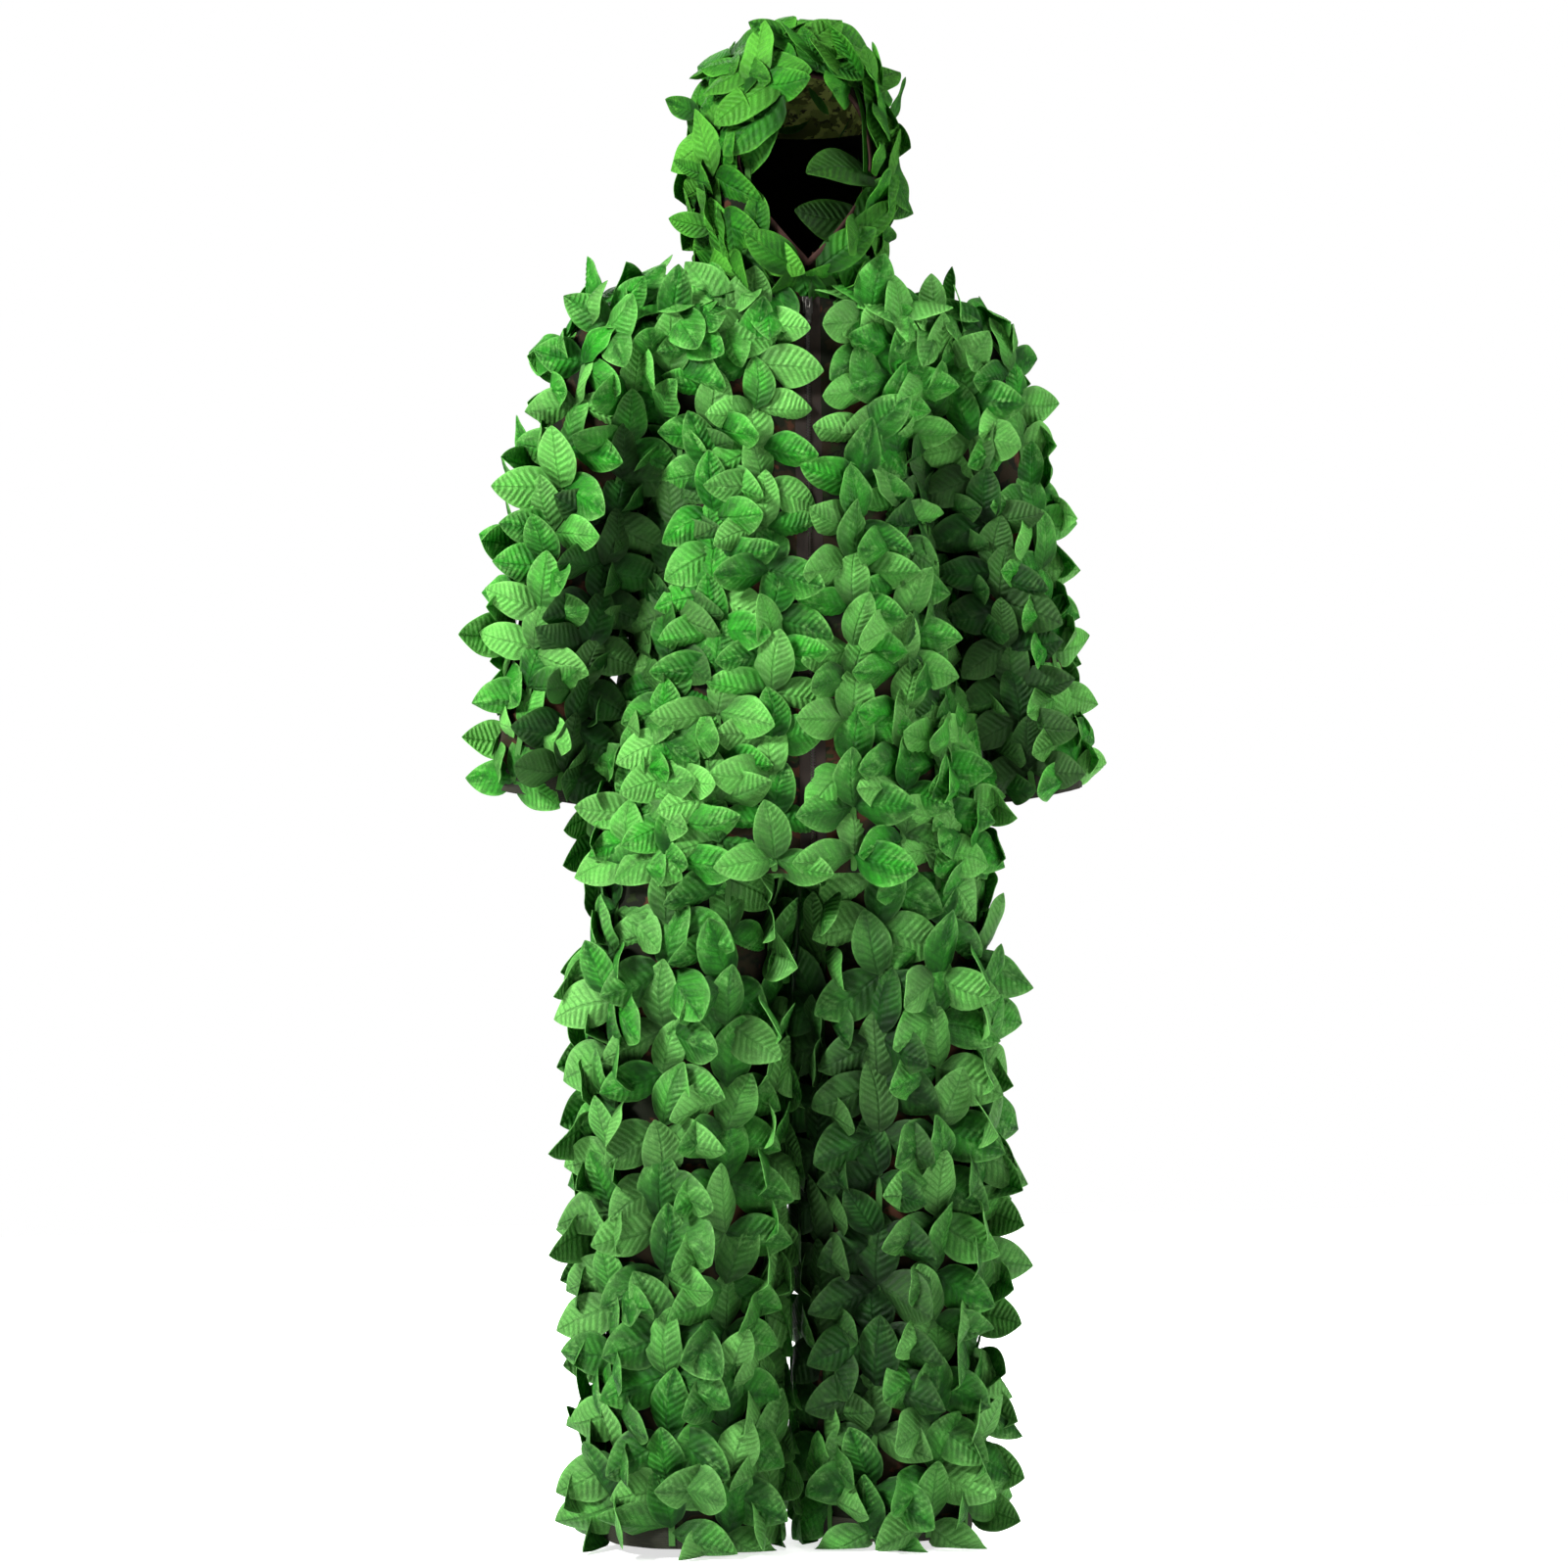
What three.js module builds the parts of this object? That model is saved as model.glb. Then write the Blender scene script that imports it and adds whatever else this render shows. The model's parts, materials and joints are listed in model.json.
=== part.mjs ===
// A leaf ghillie suit: a hooded zip jacket over elastic-waist trousers, each sewn from cloth panels
// and covered with blankets of artificial leaf strips. Millimetres, +Z up, the front faces -Y.
// Heights in this file count from the lowest leaf tips; the origin is the centre of the waist.

import * as THREE from 'three';

// Driving dimensions
const waistHeight = 1030;
const clothThickness = 1.5;
const leafThickness = 0.9;
const seam = 0.25; // degrees left open on each side of a seam
const leafLift = 28; // how far the leaf tips stand off the cloth
const leafRoot = 3; // how far the sewn ends of the leaves stand off the cloth

// Trousers
const trouserHem = 22;
const kneeHeight = 470;
const hipHeight = 800;
const seatTop = 990;
const legX = 122;
const kneePivotY = -15;
const hipPivotY = 15;
const hipBend = 25;
const kneeBend = 70;
const trouserHemBand = 24;

// Jacket
const jacketHem = 795;
const armpit = 1290;
const shoulderX = 206;
const shoulderHeight = 1385;
const armSplay = 10.5;
const sleeveLength = 513;
const elbowAt = 255; // from the shoulder pivot, along the sleeve
const elbowPivotY = 8;
const elbowBend = 70;
const underarm = 100; // how much lower the sleeve starts under the arm than on top of the shoulder
const cuffHeight = 26;
const neckHeight = 1455;

// Front zip: a straight line down the front, which comes forward a little towards the hem
const zipTop = 1452;
const zipBottom = 802;
const zipSlope = 0.06;
const zipHalfWidth = 16;

// Hood
const hoodBase = 1480;
const faceMiddle = 1606;
const faceRise = 98;
const faceDrop = 116;
const faceHalfWidth = 78;

const rad = THREE.MathUtils.degToRad;
const lerp = THREE.MathUtils.lerp;
const smooth = THREE.MathUtils.smoothstep;

const fabric = (color) => new THREE.MeshStandardMaterial({ color, roughness: 0.9, metalness: 0 });
const clothColor = 0x4a3424;
const liningColor = 0x23201a;
const jacketLeafColor = 0x4f9f42;
const trouserLeafColor = 0x3f7d3a;
const elasticColor = 0x1d1d1c;
const zipColor = 0x3b3a38;

function node(parent, name, geometry, material) {
  const mesh = new THREE.Mesh(geometry, material);
  mesh.name = name;
  parent.add(mesh);
  return mesh;
}

// Six times the volume inside a closed set of triangles; negative when the faces point in.
function signedVolume(points, triangles) {
  let total = 0;
  for (let k = 0; k < triangles.length; k += 3) {
    const [a, b, c] = [0, 1, 2].map((n) => points[triangles[k + n]]);
    total += a.dot(new THREE.Vector3().crossVectors(b, c));
  }
  return total;
}

// A closed sheet of cloth. face(i, j) gives a point of its outer face and the way out of the cloth
// there. A closed sheet joins its last column to its first, as a cuff does.
function sheetGeometry(columns, rows, closed, thickness, face) {
  const across = closed ? columns : columns + 1;
  const points = [];
  for (const depth of [0, thickness]) {
    for (let j = 0; j <= rows; j += 1) {
      for (let i = 0; i < across; i += 1) {
        const { point, normal } = face(i, j);
        points.push(point.clone().addScaledVector(normal, -depth));
      }
    }
  }
  const inside = across * (rows + 1);
  const at = (i, j, layer) => layer * inside + j * across + (i % across);
  const triangles = [];
  const quad = (a, b, c, d) => triangles.push(a, b, c, a, c, d);
  for (let i = 0; i < columns; i += 1) {
    for (let j = 0; j < rows; j += 1) {
      quad(at(i, j, 0), at(i + 1, j, 0), at(i + 1, j + 1, 0), at(i, j + 1, 0));
      quad(at(i, j, 1), at(i, j + 1, 1), at(i + 1, j + 1, 1), at(i + 1, j, 1));
    }
    quad(at(i, 0, 1), at(i + 1, 0, 1), at(i + 1, 0, 0), at(i, 0, 0));
    quad(at(i, rows, 0), at(i + 1, rows, 0), at(i + 1, rows, 1), at(i, rows, 1));
  }
  for (let j = 0; j < rows && !closed; j += 1) {
    quad(at(0, j, 0), at(0, j + 1, 0), at(0, j + 1, 1), at(0, j, 1));
    quad(at(columns, j, 1), at(columns, j + 1, 1), at(columns, j + 1, 0), at(columns, j, 0));
  }
  if (signedVolume(points, triangles) < 0) triangles.reverse();
  const geometry = new THREE.BufferGeometry();
  geometry.setAttribute(
    'position',
    new THREE.Float32BufferAttribute(points.flatMap((p) => p.toArray()), 3),
  );
  geometry.setIndex(triangles);
  geometry.computeVertexNormals();
  return geometry;
}

// The way out of a surface, from points either side of (u, v). Out is away from a point on the
// surface's middle line, a little lower down.
function normalAt(surface, u, v) {
  const du = surface(u + 0.5, v).sub(surface(u - 0.5, v));
  const dv = surface(u, v + 0.01).sub(surface(u, v - 0.01));
  const normal = du.cross(dv).normalize();
  const point = surface(u, v);
  const outwards = point.clone().sub(new THREE.Vector3(0, 0, point.z - 60));
  return normal.dot(outwards) < 0 ? normal.negate() : normal;
}

// A panel of a surface. place(s, t) gives the surface's (u, v) for s across and t down the panel.
function panel({ surface, place, columns, rows, lift = () => 0, thickness, closed = false }) {
  return sheetGeometry(columns, rows, closed, thickness, (i, j) => {
    const [u, v] = place(i / columns, j / rows);
    const normal = normalAt(surface, u, v);
    const point = surface(u, v).addScaledVector(normal, lift(i, j, u, v));
    return { point, normal };
  });
}

// Where the lines of an even blanket lie, from 0 at its top to 1 at its bottom: by turns the line
// that a row of leaves is sewn along and the line of its tips
function evenRows(tipRows) {
  const lines = [];
  for (let k = 0; k < tipRows; k += 1) lines.push(k, k + 0.85);
  return lines.map((line) => line / (tipRows - 0.15));
}

// A blanket of leaves on a surface: rows of tips that stand out like shingles, in staggered
// columns, on the given lines. reach(u, v) gives how far the tips stand off there.
function leafBlanket({ surface, place, columns, lines, reach, closed = false }) {
  const rows = lines.length - 1;
  return panel({
    surface,
    columns,
    rows,
    closed,
    thickness: leafThickness,
    place: (s, t) => place(s, lines[Math.round(t * rows)]),
    lift: (i, j, u, v) => {
      const tip = j % 2 === 1;
      const leaf = (i + (j - 1) / 2) % 2 === 0 ? 1 : 0.4;
      const least = leafRoot + leafThickness;
      return tip ? least + reach(u, v) * leaf : least;
    },
  });
}

// A size of a stack of sections at level v, which may lie a little outside the stack
function sizeAt(sections, v, key) {
  const low = THREE.MathUtils.clamp(Math.floor(v), 0, sections.length - 2);
  return lerp(sections[low][key], sections[low + 1][key], v - low);
}

// Rounded sections stacked up a garment. A section is half as wide as `wide`, and `front` and
// `back` deep; `square` above 2 gives it squarer corners. u is the angle in degrees from +X, with
// -90 at the front, and v counts the sections.
function stack(sections) {
  return (u, v) => {
    const of = (key) => sizeAt(sections, v, key);
    const power = 2 / of('square');
    const cos = Math.cos(rad(u));
    const sin = Math.sin(rad(u));
    const depth = sin < 0 ? of('front') : of('back');
    return new THREE.Vector3(
      of('wide') * Math.sign(cos) * Math.abs(cos) ** power,
      depth * Math.sign(sin) * Math.abs(sin) ** power,
      of('z'),
    );
  };
}

// A tube down -Z whose v is the distance below its start, for sleeves and legs.
function tube(widths) {
  return (u, v) => {
    const last = widths.length - 1;
    let k = 0;
    while (k < last - 1 && v > widths[k + 1].down) k += 1;
    const [from, to] = [widths[k], widths[k + 1]];
    const part = (v - from.down) / (to.down - from.down);
    return new THREE.Vector3(
      lerp(from.wide, to.wide, part) * Math.cos(rad(u)),
      lerp(from.deep, to.deep, part) * Math.sin(rad(u)),
      -v,
    );
  };
}

const suit = new THREE.Group();
suit.position.z = -waistHeight;

// ---- Trousers ----

// The seat is one wide tube from the waist to the crotch, in four panels.
const seatSections = [
  { z: hipHeight + 3, wide: 205, front: 116, back: 124, square: 2.3 },
  { z: 900, wide: 198, front: 112, back: 122, square: 2.2 },
  { z: seatTop, wide: 180, front: 104, back: 112, square: 2.1 },
  { z: seatTop + 40, wide: 172, front: 100, back: 108, square: 2.1 },
];
const seat = stack(seatSections);
const seatQuarters = [
  ['seat_front_left', -90, 0],
  ['seat_back_left', 0, 90],
  ['seat_back_right', 90, 180],
  ['seat_front_right', 180, 270],
];
for (const [name, from, to] of seatQuarters) {
  const geometry = panel({
    surface: seat,
    columns: 4,
    rows: 2,
    thickness: clothThickness,
    place: (s, t) => [lerp(from + seam, to - seam, s), 2 - 2 * t],
  });
  node(suit, name, geometry, fabric(clothColor));
}

// The waistband is a folded casing with an elastic band against its inside.
function waistRing(lift, thickness, low, high) {
  return panel({
    surface: seat,
    columns: 16,
    rows: 1,
    closed: true,
    thickness,
    place: (s, t) => [360 * s, lerp(high, low, t)],
    lift: () => lift,
  });
}
node(suit, 'waistband_casing', waistRing(0, clothThickness, 2.02, 3), fabric(clothColor));
node(suit, 'waist_elastic', waistRing(-2, 2, 2.12, 2.9), fabric(elasticColor));

// Legs, each in its own frame at the middle of the hip joint's height
const legWidths = [
  { down: 0, wide: 98, deep: 108 },
  { down: hipHeight - kneeHeight, wide: 96, deep: 96 },
  { down: hipHeight - trouserHem, wide: 93, deep: 88 },
];
const leg = tube(legWidths);
const legBottom = hipHeight - trouserHem;
const kneeDown = hipHeight - kneeHeight;
const jointGap = 1.5;
const hipGap = 8; // keeps the thigh's top edge under the jacket's hem as the leg swings

// How far a cut edge draws back from a joint's line so that the joint can close on that side
const drawBack = (y, pivotY, side, bend) => Math.max(0, (y - pivotY) * side) * Math.tan(rad(bend));

const legY = (u, v, lift) => leg(u, v).y * (1 + lift / 100);
const thighTop = (u, lift) => hipGap + drawBack(legY(u, 0, lift), hipPivotY, -1, hipBend);
const thighBottom = (u, lift) =>
  kneeDown - jointGap - drawBack(legY(u, kneeDown, lift), kneePivotY, 1, kneeBend / 2);
const shinTop = (u, lift) =>
  kneeDown + jointGap + drawBack(legY(u, kneeDown, lift), kneePivotY, 1, kneeBend / 2);

// Under the jacket's skirt the leaves start lower, clear of it as the leg swings.
const skirtClear = 42;

function buildLeg(side, word) {
  const frame = new THREE.Group();
  frame.position.set(side * legX, 0, hipHeight);
  suit.add(frame);

  const halves = [
    ['front', 180, 360],
    ['back', 0, 180],
  ];
  for (const [half, from, to] of halves) {
    const across = (s) => lerp(from + seam, to - seam, s);
    const halfPanel = (top, bottom) =>
      panel({
        surface: leg,
        columns: 6,
        rows: 1,
        thickness: clothThickness,
        place: (s, t) => [across(s), lerp(top(across(s), 0), bottom(across(s), 0), t)],
      });
    const hemTop = () => legBottom - trouserHemBand;
    node(frame, `thigh_${half}_${word}`, halfPanel(thighTop, thighBottom), fabric(clothColor));
    node(frame, `shin_${half}_${word}`, halfPanel(shinTop, hemTop), fabric(clothColor));
  }

  const hem = panel({
    surface: leg,
    columns: 12,
    rows: 1,
    closed: true,
    thickness: clothThickness + 0.5,
    place: (s, t) => [360 * s, lerp(legBottom - trouserHemBand + 0.5, legBottom, t)],
  });
  node(frame, `trouser_hem_${word}`, hem, fabric(liningColor));

  // The leaves stand off less between the legs, where the two legs' leaves meet.
  const reach = (u) => lerp(leafLift + 4, 15, smooth(-side * Math.cos(rad(u)), 0.35, 0.9));
  const blanket = (top, bottom, tipRows) =>
    leafBlanket({
      surface: leg,
      columns: 12,
      lines: evenRows(tipRows),
      reach,
      closed: true,
      place: (s, t) => [360 * s, lerp(top(360 * s), bottom(360 * s), t)],
    });
  const lift = leafLift + 6;
  const upper = blanket((u) => skirtClear + thighTop(u, lift), (u) => thighBottom(u, lift), 3);
  const lower = blanket((u) => shinTop(u, lift), () => legBottom + 14, 4);
  node(frame, `thigh_leaves_${word}`, upper, fabric(trouserLeafColor));
  node(frame, `shin_leaves_${word}`, lower, fabric(trouserLeafColor));
}
buildLeg(1, 'left');
buildLeg(-1, 'right');

// ---- Jacket ----

// The front follows the zip's straight line at its middle. armhole is how many degrees of each
// side a section leaves open on either side of the sleeve's middle.
const frontDepth = (z) => 100 + (1400 - z) * zipSlope;
const torsoSections = [
  { z: jacketHem, wide: 232, back: 142, square: 2.2, armhole: 0 },
  { z: 870, wide: 219, back: 138, square: 2.2, armhole: 0 },
  { z: 960, wide: 197, back: 132, square: 2.2, armhole: 0 },
  { z: 1080, wide: 180, back: 126, square: 2.2, armhole: 0 },
  { z: 1200, wide: 167, back: 122, square: 2.2, armhole: 0 },
  { z: armpit, wide: 157, back: 121, square: 2.3, armhole: 0 },
  { z: armpit + 10, wide: 161, back: 121, square: 2.4, armhole: 33 },
  { z: 1380, wide: 196, back: 116, square: 2.9, armhole: 34 },
  { z: 1428, wide: 204, back: 97, square: 2.9, armhole: 12 },
  { z: 1446, wide: 145, back: 88, square: 2.4, armhole: 0 },
  { z: neckHeight, wide: 86, back: 82, square: 2, armhole: 0 },
].map((section) => ({ ...section, front: frontDepth(section.z) }));
const torso = stack(torsoSections);
const torsoTop = torsoSections.length - 1;

// The angle at which a section is a given distance from its middle plane
function angleAtX(sections, v, x) {
  const share = Math.min(1, x / sizeAt(sections, v, 'wide'));
  return THREE.MathUtils.radToDeg(Math.acos(share ** (sizeAt(sections, v, 'square') / 2)));
}

// Every panel's s runs from the middle of the front, or the right side, to the left side.
function torsoPanel(part, fromMiddle, sideGap) {
  return (s, v) => {
    const side = sizeAt(torsoSections, v, 'armhole') + sideGap;
    if (part === 'back') return [lerp(180 - side, side, s), v];
    const middle = -angleAtX(torsoSections, v, fromMiddle);
    const u = lerp(middle, -side, s);
    return [part === 'left' ? u : 180 - u, v];
  };
}
const jacketPanels = [
  ['jacket_front_left', 'left', 6],
  ['jacket_front_right', 'right', 6],
  ['jacket_back', 'back', 12],
];
for (const [name, part, columns] of jacketPanels) {
  const across = torsoPanel(part, zipHalfWidth, seam);
  const geometry = panel({
    surface: torso,
    columns,
    rows: torsoTop,
    thickness: clothThickness,
    place: (s, t) => across(s, torsoTop * (1 - t)),
  });
  node(suit, name, geometry, fabric(clothColor));
}

// Jacket leaves lie flatter beside the sleeves and on the shoulder's edge.
const torsoReach = (u, v) => {
  const besideSleeve = smooth(v, 0.2, 0.9) * (1 - smooth(Math.abs(Math.sin(rad(u))), 0.35, 0.75));
  const shoulderEdge = v > 7.4 ? 0.35 : 1;
  return lerp(leafLift, 1.5, besideSleeve) * shoulderEdge;
};
// Each row is sewn along a section of the body, and its tips hang almost to the next one.
const bodyRows = [8, 7.1, 7, 6.1, 5, 4.1, 4, 3.1, 3, 2.1, 2, 1.1, 1, -0.2];
const shoulderRows = [9.8, 9.1, 9, 8.1];
const leafPanels = [
  ['jacket_leaves_front_left', 'left', 6, [...shoulderRows, ...bodyRows]],
  ['jacket_leaves_front_right', 'right', 6, [...shoulderRows, ...bodyRows]],
  ['jacket_leaves_back', 'back', 12, bodyRows],
];
for (const [name, part, columns, lines] of leafPanels) {
  const across = torsoPanel(part, zipHalfWidth + 8, 4 * seam);
  const geometry = leafBlanket({
    surface: torso,
    columns,
    lines,
    reach: torsoReach,
    place: across,
  });
  node(suit, name, geometry, fabric(jacketLeafColor));
}

// ---- Front zip ----

// The zip's own frame: its origin is the top of the zip, and the zip runs down its -Z.
const zip = new THREE.Group();
zip.position.set(0, -frontDepth(zipTop), zipTop);
zip.rotation.x = -Math.atan(zipSlope);
suit.add(zip);
const zipLength = (zipTop - zipBottom) * Math.hypot(1, zipSlope);
const teeth = { from: 0.6, to: 3.2, front: -1.1, back: 1.5 };
const slider = { halfWidth: 6, front: -4, back: 3.6, height: 20 };

function boxAt(x0, x1, y0, y1, z0, z1) {
  const geometry = new THREE.BoxGeometry(x1 - x0, y1 - y0, z1 - z0);
  geometry.translate((x0 + x1) / 2, (y0 + y1) / 2, (z0 + z1) / 2);
  return geometry;
}
const metal = () => new THREE.MeshStandardMaterial({ color: zipColor, roughness: 0.4, metalness: 0.8 });
for (const [word, side] of [['left', 1], ['right', -1]]) {
  const mirrored = (x0, x1, y0, y1) => {
    const [low, high] = side > 0 ? [x0, x1] : [-x1, -x0];
    return boxAt(low, high, y0, y1, -zipLength, 0);
  };
  const tape = mirrored(teeth.to + 0.4, zipHalfWidth - 0.6, 0.1, 1.1);
  node(zip, `zip_tape_${word}`, tape, fabric(elasticColor));
  node(zip, `zip_teeth_${word}`, mirrored(teeth.from, teeth.to, teeth.front, teeth.back), metal());
}

// The slider is an I in plan: a front and a back plate joined by a web between the two rows of
// teeth.
const web = 0.3;
const plateInFront = teeth.front - 0.4;
const plateBehind = teeth.back + 0.4;
const sliderPlan = new THREE.Shape([
  new THREE.Vector2(-slider.halfWidth, slider.front),
  new THREE.Vector2(slider.halfWidth, slider.front),
  new THREE.Vector2(slider.halfWidth, plateInFront),
  new THREE.Vector2(web, plateInFront),
  new THREE.Vector2(web, plateBehind),
  new THREE.Vector2(slider.halfWidth, plateBehind),
  new THREE.Vector2(slider.halfWidth, slider.back),
  new THREE.Vector2(-slider.halfWidth, slider.back),
  new THREE.Vector2(-slider.halfWidth, plateBehind),
  new THREE.Vector2(-web, plateBehind),
  new THREE.Vector2(-web, plateInFront),
  new THREE.Vector2(-slider.halfWidth, plateInFront),
]);
const sliderBody = new THREE.ExtrudeGeometry(sliderPlan, {
  depth: slider.height,
  bevelEnabled: false,
});
sliderBody.translate(0, 0, -slider.height);
node(zip, 'zip_slider', sliderBody, metal());

// The pull hangs flat in front of the slider and turns about a line just clear of its front plate.
const pull = { pivotY: slider.front - 1.9, pivotDown: 5, thickness: 1.6, halfWidth: 3, length: 27 };
const pullShape = new THREE.Shape();
pullShape.moveTo(-pull.halfWidth, 1.2);
pullShape.lineTo(pull.halfWidth, 1.2);
pullShape.lineTo(pull.halfWidth + 1, -pull.length + 3);
pullShape.lineTo(pull.halfWidth - 1, -pull.length);
pullShape.lineTo(-pull.halfWidth + 1, -pull.length);
pullShape.lineTo(-pull.halfWidth - 1, -pull.length + 3);
pullShape.closePath();
const pullBody = new THREE.ExtrudeGeometry(pullShape, {
  depth: pull.thickness,
  bevelEnabled: false,
});
pullBody.rotateX(Math.PI / 2);
pullBody.translate(0, pull.thickness / 2, 0);
const pullMesh = node(zip, 'zip_pull', pullBody, metal());
pullMesh.position.set(0, pull.pivotY, -pull.pivotDown);

node(zip, 'zip_bottom_stop', boxAt(-4, 4, -1.6, 2, -zipLength - 6, -zipLength - 0.4), metal());

// ---- Sleeves ----

const sleeveWidths = [
  { down: 0, wide: 60, deep: 62 },
  { down: elbowAt, wide: 55, deep: 56 },
  { down: sleeveLength, wide: 50, deep: 50 },
];
const sleeve = tube(sleeveWidths);
const sleeveY = (u, v, lift) => sleeve(u, v).y * (1 + lift / 56);
const upperBottom = (u, lift) =>
  elbowAt - jointGap - drawBack(sleeveY(u, elbowAt, lift), elbowPivotY, -1, elbowBend / 2);
const lowerTop = (u, lift) =>
  elbowAt + jointGap + drawBack(sleeveY(u, elbowAt, lift), elbowPivotY, -1, elbowBend / 2);

function buildSleeve(side, word) {
  const frame = new THREE.Group();
  frame.position.set(side * shoulderX, 0, shoulderHeight);
  frame.rotation.y = -side * rad(armSplay);
  suit.add(frame);

  // The sleeve's top edge is high on the outside of the shoulder and low under the arm.
  const capTop = (u) => 3 + (underarm * (1 - side * Math.cos(rad(u)))) / 2;
  const cuffTop = () => sleeveLength - cuffHeight;
  const halves = [
    ['front', 180, 360],
    ['back', 0, 180],
  ];
  for (const [half, from, to] of halves) {
    const across = (s) => lerp(from + 2 * seam, to - 2 * seam, s);
    const halfPanel = (top, bottom) =>
      panel({
        surface: sleeve,
        columns: 6,
        rows: 1,
        thickness: clothThickness,
        place: (s, t) => [across(s), lerp(top(across(s), 0), bottom(across(s), 0), t)],
      });
    node(frame, `upper_sleeve_${half}_${word}`, halfPanel(capTop, upperBottom), fabric(clothColor));
    node(frame, `lower_sleeve_${half}_${word}`, halfPanel(lowerTop, cuffTop), fabric(clothColor));
  }

  const cuff = panel({
    surface: sleeve,
    columns: 12,
    rows: 1,
    closed: true,
    thickness: clothThickness + 1,
    place: (s, t) => [360 * s, lerp(sleeveLength - cuffHeight + 0.5, sleeveLength, t)],
  });
  node(frame, `cuff_${word}`, cuff, fabric(liningColor));

  // Flatter leaves on the side next to the body, most of all under the arm
  const reach = (u, v) => {
    const inner = smooth(-side * Math.cos(rad(u)), 0.1, 0.8);
    return lerp(leafLift - 2, lerp(2, 17, smooth(v, 120, 330)), inner);
  };
  const blanket = (top, bottom, tipRows) =>
    leafBlanket({
      surface: sleeve,
      columns: 12,
      lines: evenRows(tipRows),
      reach,
      closed: true,
      place: (s, t) => [360 * s, lerp(top(360 * s), bottom(360 * s), t)],
    });
  const lift = leafLift + 2;
  const upper = blanket((u) => capTop(u) + 4, (u) => upperBottom(u, lift), 2);
  const lower = blanket((u) => lowerTop(u, lift), () => sleeveLength + 6, 3);
  node(frame, `upper_sleeve_leaves_${word}`, upper, fabric(jacketLeafColor));
  node(frame, `lower_sleeve_leaves_${word}`, lower, fabric(jacketLeafColor));
}
buildSleeve(1, 'left');
buildSleeve(-1, 'right');

// ---- Hood ----

// Two halves sewn together over the crown and down the back, open at the face.
const hoodSections = [
  { z: hoodBase, wide: 84, front: 97, back: 84 },
  { z: 1500, wide: 92, front: 106, back: 92 },
  { z: 1540, wide: 101, front: 114, back: 104 },
  { z: 1600, wide: 106, front: 118, back: 112 },
  { z: 1650, wide: 104, front: 116, back: 112 },
  { z: 1690, wide: 93, front: 104, back: 101 },
  { z: 1720, wide: 72, front: 82, back: 78 },
  { z: 1738, wide: 44, front: 52, back: 48 },
  { z: 1746, wide: 14, front: 18, back: 16 },
].map((section) => ({ ...section, square: 2.1 }));
const hood = stack(hoodSections);
const hoodTop = hoodSections.length - 1;

const heightOf = (v) => hood(0, v).z;
// Half the face opening's width at a height: round above, running to a point below
function faceAt(z, margin) {
  const size = z > faceMiddle ? faceRise + margin : faceDrop + margin;
  const level = Math.min(1, Math.abs(z - faceMiddle) / size);
  const roundness = z > faceMiddle ? 0.5 : 0.8;
  return (faceHalfWidth + margin) * (1 - level ** 2) ** roundness;
}
function hoodPanel(side, margin, backGap) {
  return (s, v) => {
    const edge = Math.max(faceAt(heightOf(v), margin), 1.2);
    const fromFront = -angleAtX(hoodSections, v, edge);
    const u = lerp(fromFront, 90 - backGap, s);
    return [side > 0 ? u : 180 - u, v];
  };
}
const hoodRows = [7.7, 6.15, 6, 5.1, 5, 3.6, 3.5, 2.1, 2, 0.5];
for (const [word, side] of [['left', 1], ['right', -1]]) {
  const across = hoodPanel(side, 0, seam);
  const half = panel({
    surface: hood,
    columns: 7,
    rows: hoodTop,
    thickness: clothThickness,
    place: (s, t) => across(s, hoodTop * (1 - t)),
  });
  node(suit, `hood_${word}`, half, fabric(liningColor));

  const leafAcross = hoodPanel(side, 16, 4 * seam);
  const leafReach = (u, v) => leafLift * smooth(v, 0.2, 1.2);
  const leaves = leafBlanket({
    surface: hood,
    columns: 8,
    lines: hoodRows,
    reach: leafReach,
    place: leafAcross,
  });
  node(suit, `hood_leaves_${word}`, leaves, fabric(jacketLeafColor));
}

// A bound edge runs round the face opening, on the outside of the hood.
const bindingWidth = 11;
function onHood(x, z) {
  let v = 0;
  while (v < hoodTop - 1 && hoodSections[v + 1].z < z) v += 1;
  const from = hoodSections[v].z;
  const level = v + (z - from) / (hoodSections[v + 1].z - from);
  const angle = angleAtX(hoodSections, level, Math.abs(x));
  return [x < 0 ? 180 + angle : -angle, level];
}
const binding = panel({
  surface: hood,
  columns: 28,
  rows: 1,
  closed: true,
  thickness: clothThickness,
  place: (s, t) => {
    const around = 2 * Math.PI * s;
    const margin = bindingWidth * t;
    const size = Math.sin(around) > 0 ? faceRise + margin : faceDrop + margin;
    const z = Math.max(faceMiddle + size * Math.sin(around), hoodBase + 3);
    return onHood(Math.sign(Math.cos(around)) * faceAt(z, margin), z);
  },
  lift: () => clothThickness + 2,
});
node(suit, 'face_binding', binding, fabric(clothColor));

export default suit;
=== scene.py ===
"""A leaf ghillie suit: cloth panels, about 2,500 sewn leaves, the front zip and the hood, built round
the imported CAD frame. Metres, +Z up, the front faces -Y. Heights named h count from the ground, which
is WAIST below the frame's origin."""

import json
import math

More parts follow.
